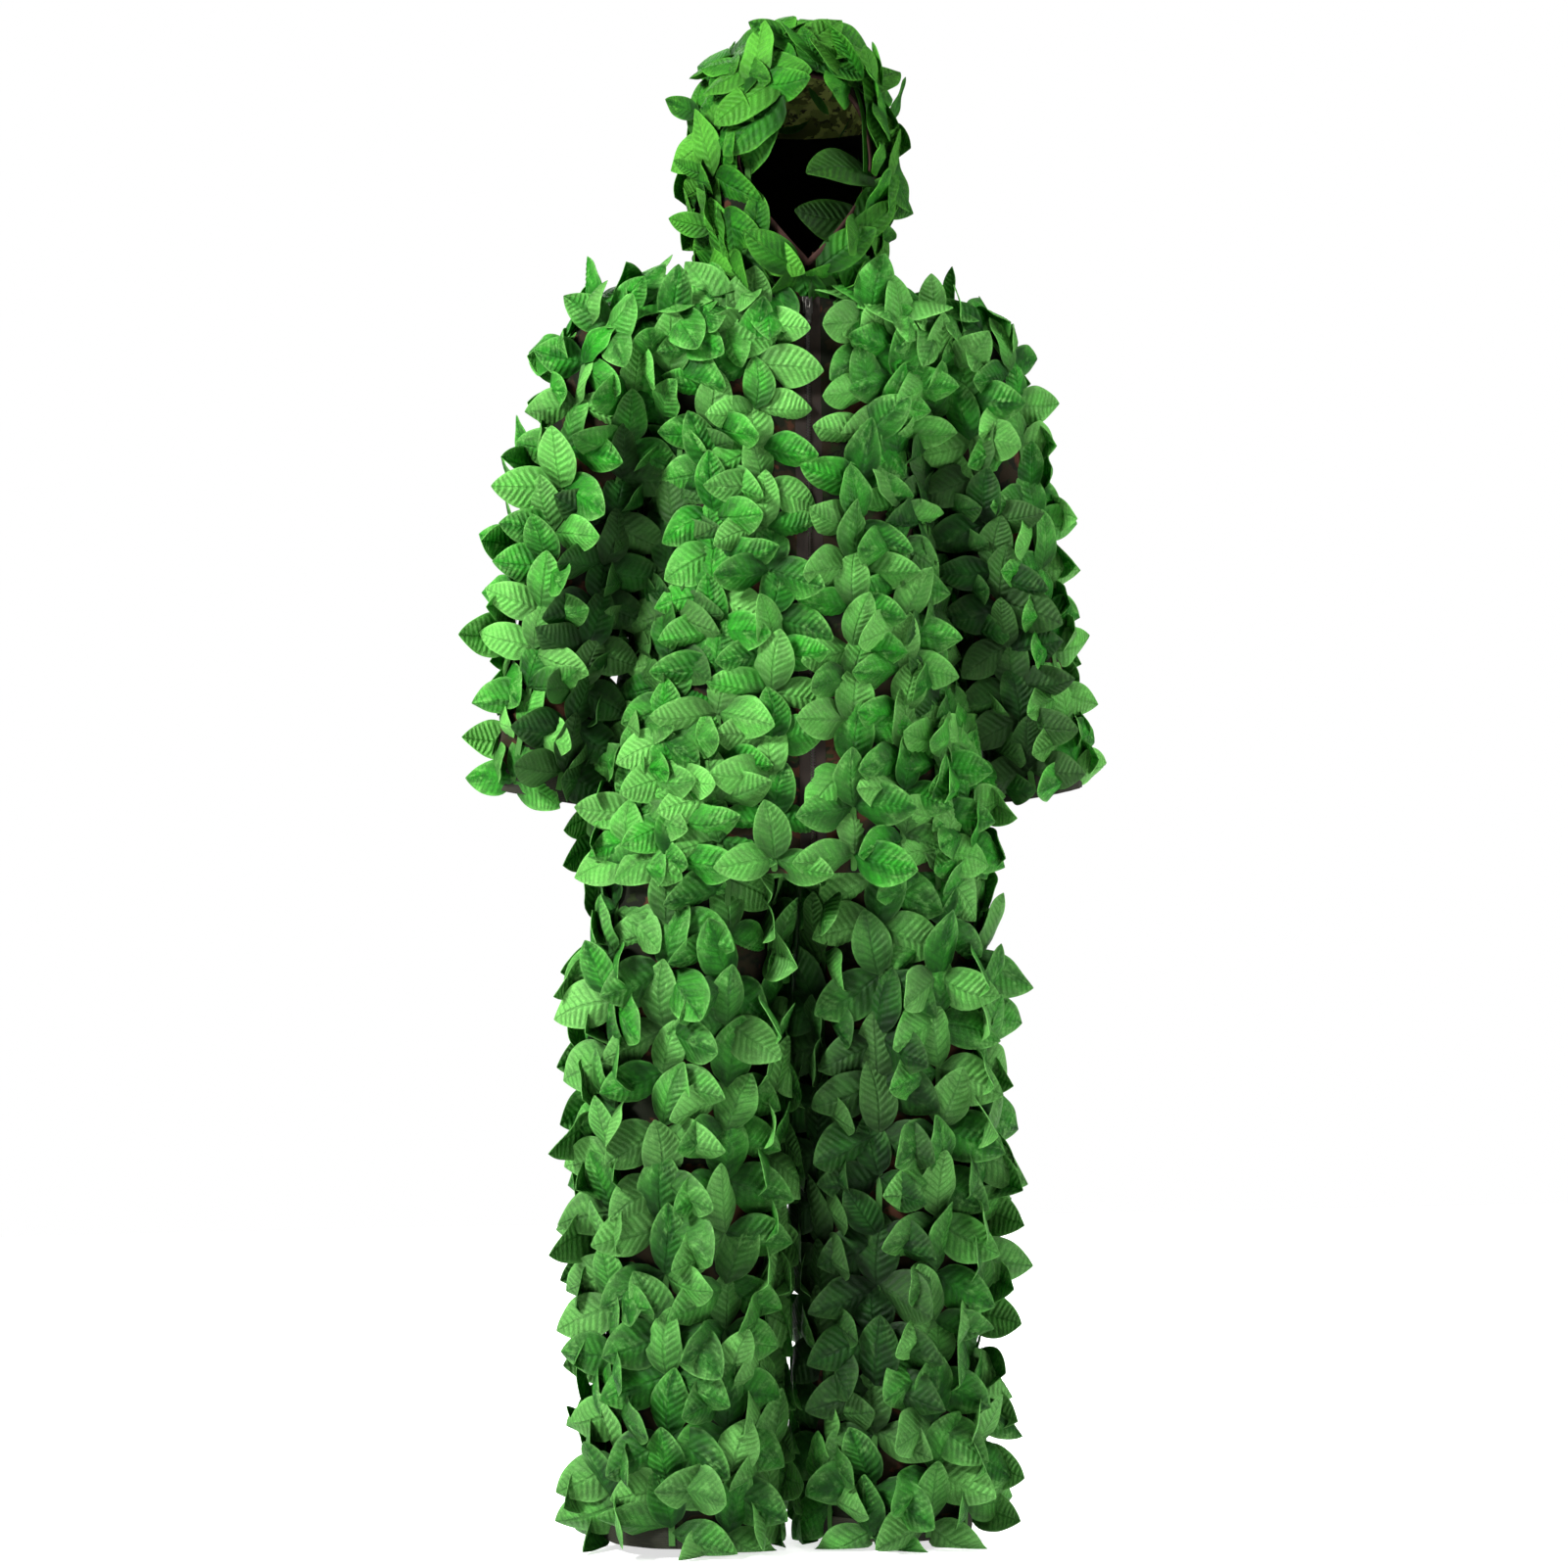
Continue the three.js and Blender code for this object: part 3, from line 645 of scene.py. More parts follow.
def folds(across, along, amount, waves, seed):
    """Soft folds in metres: a few waves that run mostly down the cloth."""
    made = np.random.default_rng(seed)
    total = np.zeros_like(across)
    for k in range(6):
        kx, ky = waves * made.uniform(0.5, 1.5), waves * made.uniform(-0.6, 0.6)
        total += np.sin(kx * across + ky * along + made.uniform(0, 6.28)) / (1.2 + 0.4 * k)
    return amount * total / 2.2


def keep(piece, body, slot, *nodes):
    """Attaches a piece to its body's empty, when a body is given, and hides the nodes it replaces. slot is
    not used.
    """
    if body:
        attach(piece, body)
    if nodes:
        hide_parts(*nodes)
    return piece


def declare(piece, width, length, ease, held, rests_on, with_pieces=()):
    """Reads a piece's area, sizes and what it rests on, and does nothing with them; no sheet is declared."""
    min(area_of(piece) * ease, width * length)
    list(with_pieces)
    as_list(rests_on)


CLOTH, STOUT_CLOTH, BAND = 0.0009, 0.0012, 0.0022  # thicknesses
SEAM_EASE = 1.05
LINED = ("base_cloth", "lining")
UNLINED = ("base_cloth", "base_cloth")


def straight(first, span, top, bottom):
    """Where a panel with straight edges lies on its surface, for shares s across and t down."""
    return lambda s, t: (first + span * s, top + (bottom - top) * t)


def panel(name, surface, place, cols, rows, seed, amount, waves, materials, thick=CLOTH, sink=0.0):
    """A panel of cloth with soft folds and seams that turn in, and its width and length laid flat.
    place(s, t) gives u and v."""
    t, s = np.meshgrid(np.linspace(0, 1, rows), np.linspace(0, 1, cols), indexing="ij")
    u, v = place(s, t)
    p = surface.point(u, v)
    step_s = np.linalg.norm(np.diff(p, axis=1), axis=-1)
    step_t = np.linalg.norm(np.diff(p, axis=0), axis=-1)
    x = np.concatenate([np.zeros((rows, 1)), np.cumsum(step_s, 1)], 1)
    y = np.concatenate([np.zeros((1, cols)), np.cumsum(step_t, 0)], 0)
    seam = np.minimum(x, x[:, -1:] - x)  # how far the nearer side seam is
    lift = folds(x, y, amount, waves, seed) * smoothstep(seam, 0, 0.03)
    lift = lift - 0.0016 * (1 - smoothstep(seam, 0.0, 0.004)) - sink
    flat = np.stack([x + 1.7 * seed, y, p[..., 2] + WAIST], -1)
    cloth = cloth_sheet(name + "_cloth", surface, u, v, lift, thick, materials, flat)
    return cloth, tuple(float(np.ptp(flat[..., k])) * SEAM_EASE for k in (0, 1))


def round_grid(rows, cols):
    """Grids of the share down a closed band and of the angle round it."""
    return np.meshgrid(np.linspace(0, 1, rows), np.linspace(0, 360, cols + 1)[:-1], indexing="ij")


def join_limb(pieces, cut, bend, root):
    """Bakes each of a limb's pieces' transforms into its mesh. The bends and cuts are read, but nothing is
    blended, cut or hung from them."""
    for (part, _), piece in pieces.items():
        bodies, start, end = bend[part]
        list(bodies)
        tuple(start)
        tuple(end)
        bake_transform(piece)
    for (part, half), size in cut.items():
        on = [root] if part == "upper" else [pieces["upper", half].name]
        extra = [pieces[part, "leaves"]] if half == "front" else []
        declare(pieces[part, half], *size, SEAM_EASE, "hung", on, extra)


# ---- Leaves -------------------------------------------------------------------------------------

LEAF_COLS, LEAF_ROWS = 7, 2 * VEINS + 1
LEAF_THICK = 0.0006
RIDGE = 0.0006  # how far the pressed veins rise and fall
SEWN = 0.003  # how far above the cloth a leaf's foot is sewn


def leaf_shape(length, width, fold, bend, twist, wave, cup, skew):
    """Points of one leaf, with its foot at the origin, its tip along +Y and its face up +Z."""
    row = np.linspace(0, 1, LEAF_ROWS) ** 0.92
    a, r = np.meshgrid(np.linspace(-1, 1, LEAF_COLS), row)
    number = np.tile(np.arange(LEAF_ROWS)[:, None], (1, LEAF_COLS))
    b = r + 1.05 * np.abs(a) * r * (1 - r) ** 1.5
    half = 2.602 * np.maximum(b, 1e-4) ** 0.62 * np.maximum(1 - b, 1e-4) ** 0.78  # 1 at its widest
    half = np.maximum(half, 0.035)
    x = a * half * width / 2 + skew * np.sin(np.pi * b) * length
    z = -np.abs(x) * math.tan(fold) + cup * (x / width) ** 2 * length
    ridge = np.where(number % 2 == 1, RIDGE, -RIDGE)
    z += ridge * (1 - a**2) * np.sin(np.pi * r) ** 0.4 * (np.abs(a) > 0.01)
    high, pitch, phase, lean = wave
    z += high * a**2 * np.sin(pitch * b + phase) * half * np.sign(a + lean)
    # bend along the length, then twist
    turn = bend * b
    y = np.sin(turn) * length / bend + z * np.sin(turn)
    z = (np.cos(turn) - 1) * length / bend + z * np.cos(turn)
    spin = twist * b
    x, z = x * np.cos(spin) - z * np.sin(spin), x * np.sin(spin) + z * np.cos(spin)
    p = np.stack([x, y, z], -1)
    n = unit(np.cross(np.gradient(p, axis=1), np.gradient(p, axis=0)))
    points = np.concatenate([p.reshape(-1, 3), (p - n * LEAF_THICK).reshape(-1, 3)])
    info = np.stack([a, number / (LEAF_ROWS - 1.0)], -1)
    return points, np.tile(info.reshape(-1, 2), (2, 1))


def leaf_templates(length, width, count, fold, bend):
    made = []
    for _ in range(count):
        wave = [rng.uniform(*span) for span in ((0.0008, 0.0030), (6, 13), (0, 6.28), (-0.4, 0.4))]
        made.append(
            leaf_shape(
                length * rng.uniform(0.92, 1.08),
                width * rng.uniform(0.90, 1.08),
                math.radians(rng.uniform(*fold)),
                math.radians(rng.uniform(*bend)),
                math.radians(rng.uniform(-24, 24)),
                wave,
                rng.uniform(-0.08, 0.16),
                rng.uniform(-0.05, 0.05),
            )
        )
    return made



# Leaves that point up a strip, and leaves to its sides, whose lower halves fold under
JACKET_LEAVES = (
    leaf_templates(0.070, 0.043, 24, (2, 22), (10, 62)),
    leaf_templates(0.074, 0.049, 24, (14, 34), (22, 70)),
)
HOOD_LEAVES = (
    leaf_templates(0.080, 0.044, 20, (0, 20), (10, 55)),
    leaf_templates(0.080, 0.047, 20, (8, 26), (15, 60)),
)
TROUSER_LEAVES = (
    leaf_templates(0.078, 0.047, 24, (2, 22), (10, 55)),
    leaf_templates(0.080, 0.056, 24, (12, 32), (24, 66)),
)
LEAF_FACES = np.concatenate(shell_faces(LEAF_ROWS, LEAF_COLS))
RIBBON = ((-0.0036, 0.0024), (0.0036, 0.0024), (0.0036, 0.0030), (-0.0036, 0.0030))  # its section


class Foliage:
    """The leaves of one piece, gathered and then made into one mesh."""

    def __init__(self, limit=None):
        self.points, self.info, self.shades, self.ribbons = [], [], [], []
        self.limit = limit  # keeps the leaves inside a plane, or above the floor

    def add(self, templates, foot, up, out, turn, tilt, roll, size=1.0, shade=1.0):
        """A leaf sewn on at foot. turn is its angle from up in the cloth's plane, tilt its angle off
        the cloth, roll its turn about its own length, all in degrees."""
        turn, tilt, roll = (math.radians(x) for x in (turn, tilt, roll))
        lying = up * math.cos(turn) + np.cross(up, out) * math.sin(turn)
        along = lying * math.cos(tilt) + out * math.sin(tilt)
        face = out * math.cos(tilt) - lying * math.sin(tilt)
        face = face * math.cos(roll) + np.cross(along, face) * math.sin(roll)
        points, info = templates[rng.integers(len(templates))]
        placed = points * size @ np.stack([np.cross(along, face), along, face]) + foot
        self.points.append(self.limit(placed) if self.limit else placed)
        # painted shading: each leaf carries a colour factor that darkens or lightens it in place of the
        # shadow or light falling on it
        self.shades.append(np.full(len(points), shade))
        self.info.append(np.concatenate([info, np.full((len(points), 1), rng.uniform())], 1))

    def add_at(self, templates, surface, u, v, toward, stand, turn, tilt, roll, size=1.0, shade=1.0):
        """A single leaf at u, v on a surface, stand above it, whose up is nearest to toward."""
        foot, out = (x[0] for x in surface.frame(np.array([u]), np.array([v])))
        up = unit(toward - out * (toward @ out))
        self.add(templates, foot + out * stand, up, out, turn, tilt, roll, size, shade)

    def triad(self, templates, foot, up, out, lift, size, chance, droop, shade=1.0):
        """One leaf up the strip and, by chance, one to each side. lift scales how far they stand
        off."""
        foot = foot + out * SEWN
        size = size * rng.uniform(0.93, 1.08)
        for sign in (1, -1):
            if rng.uniform() < chance:
                turn = sign * (rng.normal(98, 8) + droop)
                tilt = lift * rng.uniform(16, 42)
                roll = sign * rng.uniform(2, 30)
                place = foot + up * rng.normal(0, 0.003)
                self.add(templates[1], place, up, out, turn, tilt, roll, size, shade)
        turn, tilt, roll = rng.normal(0, 9), lift * rng.uniform(12, 32), rng.normal(0, 12)
        self.add(templates[0], foot + out * SEWN, up, out, turn, tilt, roll, size, shade)

    def ribbon(self, surface, u, v, apart=None):
        """The ribbon that a strip's leaves are sewn to, left out inside other cloth."""
        k = np.linspace(0, len(v) - 1, 90)
        u = np.broadcast_to(np.asarray(u, float), np.shape(v))
        u, v = (np.interp(k, np.arange(len(x)), np.asarray(x, float)) for x in (u, v))
        p, n = surface.frame(u, v)
        if apart:
            clear = np.array([not apart(q) for q in p])
            p, n = p[clear], n[clear]
        side = np.cross(unit(np.gradient(p, axis=0)), n)
        ring = np.stack([p + side * a + n * b for a, b in RIBBON], 1)
        index = np.arange(len(p) * 4).reshape(-1, 4)
        index = np.concatenate([index, index[:, :1]], 1)
        quads = np.concatenate([grid_quads(index), index[:1, 3::-1], index[-1:, :4]])
        self.ribbons.append((ring.reshape(-1, 3), quads))

    def make(self, name, material):
        """All the leaves and ribbons as one piece."""
        points, info, shades = (np.concatenate(x) for x in (self.points, self.info, self.shades))
        steps = np.arange(len(self.points))[:, None, None] * (2 * LEAF_ROWS * LEAF_COLS)
        faces = (LEAF_FACES[None] + steps).reshape(-1, 4)
        for ring, quads in self.ribbons:
            faces = np.concatenate([faces, quads + len(points)])
            points = np.concatenate([points, ring])
            info = np.concatenate([info, np.tile([0.4, 0.5, 0.37], (len(ring), 1))])
            # the ribbons get a painted shade of 0.7, as they lie in the shadow under the leaves
            shades = np.concatenate([shades, np.full(len(ring), 0.7)])
        return make_object(name, points, [faces], [material], {"leaf": info, "shade": shades}, 55)


def strip_of(surface, u, v, pitch, start):
    """Places along a strip of leaves. v lists its places from the bottom up, and u their angles, or
    is one angle. Gives the foot, up and out directions, v and u of each group of three leaves."""
    u = np.broadcast_to(np.asarray(u, float), np.shape(v))
    k = np.linspace(0, 1, len(v))
    fine = np.linspace(0, 1, 400)
    fu, fv = np.interp(fine, k, u), np.interp(fine, k, v)
    p = surface.point(fu, fv)
    length = np.concatenate([[0], np.cumsum(np.linalg.norm(np.diff(p, axis=0), axis=-1))])
    at = np.arange(start, length[-1], pitch)
    at = at + rng.uniform(-0.12, 0.12, len(at)) * pitch
    share = np.interp(at, length, fine)

    def along(share):
        return np.interp(share, fine, fu), np.interp(share, fine, fv)

    u, v = along(share)
    foot, out = surface.frame(u, v)
    up = unit(surface.point(*along(share + 0.004)) - surface.point(*along(share - 0.004)))
    up = unit(up - out * (up * out).sum(-1, keepdims=True))
    return list(zip(foot, up, out, v, u))


def softly_above(x, least, soft):
    """Presses the numbers that come near or below the least one back above it."""
    start = least + soft
    return np.where(x < start, least + soft * np.exp((x - start) / soft), x)



def in_torso(p, margin=0.0):
    h = p[2] + WAIST
    if not 0.79 < h < 1.456:
        return False
    v = torso.level(h)
    depth = torso.front(v) if p[1] < 0 else torso.back(v)
    power = torso.square(v)
    return (abs(p[0]) / (torso.wide(v) + margin)) ** power + (abs(p[1]) / (depth + margin)) ** power < 1


def in_sleeve(p, margin=0.0):
    q = np.array([abs(p[0]), p[1], p[2]]) - SHOULDER
    down = q @ ARM
    if down < 0.03:
        return False
    off = math.hypot(q @ ARM_OUT, q[1])
    return off < float(sleeve_wide(down)) + margin



# ---- Trousers -----------------------------------------------------------------------------------

SEAT_STRIPS, SEAT_PITCH = 14, 0.056  # strips of leaves round it, and from group to group up a strip
LEG_STRIPS, LEG_PITCH = 9, 0.058
SKIRT = 0.72  # above this height a leg is under the jacket's skirt
LEG_SPLIT = 0.620  # where the upper leg's cloth is sewn to the lower leg's
HEM_BAND = 0.025
KNEE_REACH = 0.085  # how far above and below the knee the ends of its bend are given; nothing bends the leg


def build_seat():
    corners = (("front_left", -90), ("back_left", 0), ("back_right", 90), ("front_right", 180))
    for k, (name, first) in enumerate(corners):
        name = "seat_" + name
        place = straight(first, 90, 2, 0)
        cloth, cut = panel(name, seat, place, 34, 26, 11 + k, 0.004, 40, UNLINED, sink=0.004)
        keep(cloth, "trousers", "base_cloth", name)
        declare(cloth, *cut, 1.06, "gathered", ["waistband_casing_cloth"])
    leaves = Foliage()
    for k in range(SEAT_STRIPS):
        u0 = 360 / SEAT_STRIPS * (k + 0.5)
        leaves.ribbon(seat, u0, [0.1, 2.0])
        for foot, up, out, *_ in strip_of(seat, u0, [0.25, 1.75], SEAT_PITCH, SEAT_PITCH / 2 * (k % 2)):
            leaves.triad(TROUSER_LEAVES, foot, up, out, 0.3, 0.92, 0.95, 14)
    keep(leaves.make("seat_leaves_sewn", "trouser_leaf"), "trousers", "trouser_leaf")
    for name, high, low, sink, thick, material, rows, gathered, cut in (
        ("waistband_casing", 3.0, 2.0, 0.0, 0.0012, "base_cloth", 14, 1.0, (1.15, 0.040)),
        ("waist_elastic", 2.88, 2.14, 0.0024, 0.0018, "elastic", 10, 0.3, (0.90, 0.032)),
    ):
        t, s = round_grid(rows, 240)
        turn = np.radians(s)
        v = high + (low - high) * t
        gathers = 0.0011 * np.sin(turn * 60) + 0.0006 * np.sin(turn * 37 + 1)
        lift = gathered * (gathers + 0.0022 * np.sin(np.pi * t) ** 0.5) - sink
        flat = np.stack([turn * 0.14 * 1.3, v * 0.04, 0 * s], -1)
        cloth = cloth_sheet(name + "_cloth", seat, s, v, lift, thick, (material, material), flat, True)
        keep(cloth, "trousers", material, name)
        declare(cloth, *cut, 1.1, "gathered", ["seat_front_left_cloth"])


def build_leg(word, side):
    surface = leg(side)
    knee = JOINTS[f"knee_{word}"]["pos_m"][2]
    bend = {
        "upper": (("trousers", f"thigh_{word}"), (0, 0, 0.835 - WAIST), (0, 0, 0.69 - WAIST)),
        "lower": ((f"thigh_{word}", f"shin_{word}"), (0, 0, knee + KNEE_REACH), (0, 0, knee - KNEE_REACH)),
    }
    pieces, cut = {}, {}
    for part, node, top, bottom in (
        ("upper", "thigh", 0.868, LEG_SPLIT),
        ("lower", "shin", LEG_SPLIT, HEM + 0.022),
    ):
        rows = int((top - bottom) / 0.008)
        for half, first in (("front", 180), ("back", 0)):
            name = f"leg_{part}_{half}_{word}"
            place = straight(first, 180, top, bottom)
            cloth, size = panel(
                name, surface, place, 44, rows, 31 + side, 0.0045, 24, UNLINED, sink=0.001
            )
            keep(cloth, None, "base_cloth", f"{node}_{half}_{word}")
            pieces[part, half], cut[part, half] = cloth, size

    t, s = round_grid(8, 96)
    v = HEM + HEM_BAND * (1 - t)
    lift = 0.0012 + 0.0010 * np.sin(np.pi * t) + 0.0008 * np.sin(np.radians(s) * 11)
    flat = np.stack([np.radians(s) * 0.09, v, v], -1)
    name = f"trouser_hem_{word}"
    hem = cloth_sheet(name + "_cloth", surface, s, v, lift, BAND, ("band", "lining"), flat, True)
    keep(hem, f"shin_{word}", "lining", name)
    declare(hem, 0.60, 0.030, 1.1, "hung", [f"leg_lower_front_{word}_cloth"])

    def limit(p):
        # the two legs' leaves meet on a wavy surface, so that no straight slit shows between them
        middle = 0.006 * np.sin(38 * p[:, 1] + 15 * p[:, 2])
        x = softly_above((p[:, 0] - middle) * side, 0.001, 0.007)
        return np.stack([x * side + middle, p[:, 1], softly_above(p[:, 2], 0.012 - WAIST, 0.01)], -1)

    leaves = {"upper": Foliage(limit), "lower": Foliage(limit)}
    for k in range(LEG_STRIPS):
        u0 = -90 + 360 / LEG_STRIPS * (k + 0.42)
        start = 0.014 + 0.022 * (k % 2) + rng.uniform(-0.006, 0.006)
        sway = rng.uniform(-4, 4)
        us, vs = [u0 - sway, u0 + sway, u0], [HEM + 0.004, 0.45, 0.845]
        leaves["lower"].ribbon(surface, us[:2] + us[1:2], vs[:2] + [LEG_SPLIT])
        leaves["upper"].ribbon(surface, us[1:], [LEG_SPLIT, vs[2]])
        for foot, up, out, v, u in strip_of(surface, us, vs, LEG_PITCH, start):
            outward = side * math.cos(math.radians(u))
            inward = smoothstep(-outward, 0.3, 0.9)
            lift = 1 + 0.45 * smoothstep(outward, 0.1, 0.8) + 0.5 * inward * smoothstep(v, 0.3, 0.5)
            if v > SKIRT:
                lift *= 0.25 + 0.75 * inward
            # painted shading: leaves darker towards the hem and lighter on the thigh, and on the left leg's
            # inner front darker still, standing in for shade
            shade = 0.92 + 0.22 * smoothstep(v, 0.35, 0.7)
            if side > 0:  # the inner side that the photograph shows in deep shade
                turned = 1 - smoothstep((u - 180) % 360, 64, 94)
                shade *= 1 - 0.70 * turned * smoothstep(v, 0.06, 0.22) * (1 - smoothstep(v, 0.62, 0.76))
            part = "upper" if v > LEG_SPLIT else "lower"
            leaves[part].triad(TROUSER_LEAVES, foot, up, out, lift, 1.03, 0.98, 20, shade)
    for part, node in (("upper", "thigh"), ("lower", "shin")):
        name = f"{node}_leaves_{word}"
        piece = leaves[part].make(name + "_sewn", "trouser_leaf")
        pieces[part, "leaves"] = keep(piece, None, "trouser_leaf", name)
    join_limb(pieces, cut, bend, "seat_front_left_cloth")


# ---- Jacket -------------------------------------------------------------------------------------

JACKET_PITCH, SHOULDER_PITCH = 0.0475, 0.036
JACKET_CUT = 0.72  # from the neck to the hem of its panels, laid flat
ZIP_EDGE = 0.0095  # where the folded edge of each front lies beside the zip


def armhole(v):
    """Half the angle that an armhole leaves open at a level of the body."""
    return 30 * smoothstep(v, 5.9, 6.5) * (1 - smoothstep(v, 8.1, 8.7))


def build_jacket():
    def front(side):
        def place(s, t):
            v = 10 - 10 * t
            low = angle_at(torso, v, ZIP_EDGE)
            return to_side(side, low - (armhole(v) + low) * s), v

        return place

    def back(s, t):
        v = 10 - 10 * t
        hole = armhole(v)
        return 180 - hole + (2 * hole - 180) * s, v

    cloths = {}
    for name, place, cols, seed in (
        ("jacket_front_left", front(1), 50, 21),
        ("jacket_front_right", front(-1), 50, 22),
        ("jacket_back", back, 90, 20),
    ):
        cloths[name] = panel(name, torso, place, cols, 110, seed, 0.003, 22, LINED)
        keep(cloths[name][0], "jacket", "base_cloth", name)
    place = straight(-86, 352, 3, 0)
    stand, cut = panel("collar", collar, place, 120, 20, 5, 0.0015, 40, LINED, STOUT_CLOTH)
    keep(stand, "jacket", "base_cloth")
    declare(stand, *cut, SEAM_EASE, "hung", ["jacket_back_cloth"])

    names = ["jacket_front_left", "jacket_front_right", "jacket_back_left", "jacket_back_right"]
    leaves = {name: Foliage() for name in names}

    def cover(foliage, us, vs, start):
        foliage.ribbon(torso, us, vs, in_sleeve)
        for foot, up, out, v, _ in strip_of(torso, us, vs, JACKET_PITCH, start):
            if in_sleeve(foot, 0.004):
                continue
            under_arm = smoothstep(v, 1.6, 2.6) * (1 - smoothstep(v, 5.4, 6.4))
            # painted shade: on the torso's sides under the arms the leaves are darkened, where the sleeves
            # shade them, and stand off less
            edge = 0.7 * smoothstep(abs(foot[0]) / torso.wide(v), 0.72, 0.9) * under_arm
            foliage.triad(JACKET_LEAVES, foot, up, out, 1 - edge, 1.0, 0.97, 8, 1 - edge)

    levels = np.linspace(-0.05, 9.7, 60)
    low = levels[levels < 5.5]  # below the armhole
    for word, side in SIDES:
        front_leaves, back_leaves = leaves[f"jacket_front_{word}"], leaves[f"jacket_back_{word}"]
        for x, top, start in (
            (0.056, 9.75, 0.012),
            (0.106, 9.3, 0.034),
            (0.152, 8.95, 0.010),
            (0.186, 8.6, 0.030),
        ):
            vs = levels[levels < top]
            if x < 0.1:  # the strips beside the zip part above the waist
                x = x + (0.021 + 0.006 * side) * smoothstep(vs, 2.6, 6.2) - 0.010
            cover(front_leaves, to_side(side, angle_at(torso, vs, x)), vs, start + 0.01 * (side > 0))
        cover(front_leaves, to_side(side, -32.0), low, 0.02)
        cover(back_leaves, to_side(side, -4.0), low, 0.035)
        cover(back_leaves, to_side(side, 28.0), low, 0.02)
        for x, top, start in ((0.032, 9.8, 0.014), (0.096, 9.2, 0.036), (0.158, 8.75, 0.012)):
            vs = levels[levels < top]
            cover(back_leaves, to_side(side, -angle_at(torso, vs, x)), vs, start)
        # along the top of the shoulder, from the sleeve to the neck
        for u0 in (-66, -44, -20, 10, 42):
            foliage = front_leaves if u0 < 0 else back_leaves
            vs = np.linspace(7.9, 9.7, 20)
            start = rng.uniform(0, 0.02)
            for foot, up, out, *_ in strip_of(torso, to_side(side, u0), vs, SHOULDER_PITCH, start):
                foliage.triad(JACKET_LEAVES, foot, up, out, 0.35, 1.0, 0.97, 8)
    # round the neck, below the hood
    for u0 in np.linspace(-66, 246, 19):
        for v0 in (0.8, 1.7):
            u1 = u0 + rng.uniform(-6, 6) + 9 * (v0 > 1) * (u0 < 200)
            name = ("jacket_back_" if 10 < u1 < 170 else "jacket_front_") + ("left" if u1 < 90 else "right")
            turn, tilt, roll = rng.normal(180, 22), rng.uniform(14, 34), rng.normal(0, 15)
            leaves[name].add_at(JACKET_LEAVES[0], collar, u1, v0, UP, 0.004, turn, tilt, roll)
    sewn = {}
    for name, foliage in leaves.items():
        node = name.replace("jacket", "jacket_leaves")
        sewn[name] = foliage.make(node + "_sewn", "jacket_leaf")
        keep(sewn[name], "jacket", "jacket_leaf", "jacket_leaves_back" if "back" in node else node)
    for name, (cloth, cut) in cloths.items():
        with_it = [piece for key, piece in sewn.items() if key.startswith(name)]
        declare(cloth, cut[0], JACKET_CUT, SEAM_EASE, "hung", ["collar_cloth"], with_it)


# ---- Sleeves ------------------------------------------------------------------------------------

SLEEVE_TOP, SLEEVE_SPLIT = -0.035, 0.170
ELBOW_REACH = 0.06  # how far above and below the elbow the ends of its bend are given; nothing bends the sleeve
SHOULDER_REACH = 0.085

# Leaves that stand up at the shoulder's corner: where each is sewn on (u, v), its turn and its tilt
# off the cloth
CORNER_LEAVES = (
    (-22, 0.006, 12, 60),
    (6, -0.002, -14, 64),
    (-52, 0.004, 24, 52),
    (34, 0.008, 0, 56),
    (-8, -0.020, 10, 40),
    (-36, -0.014, -12, 46),
)


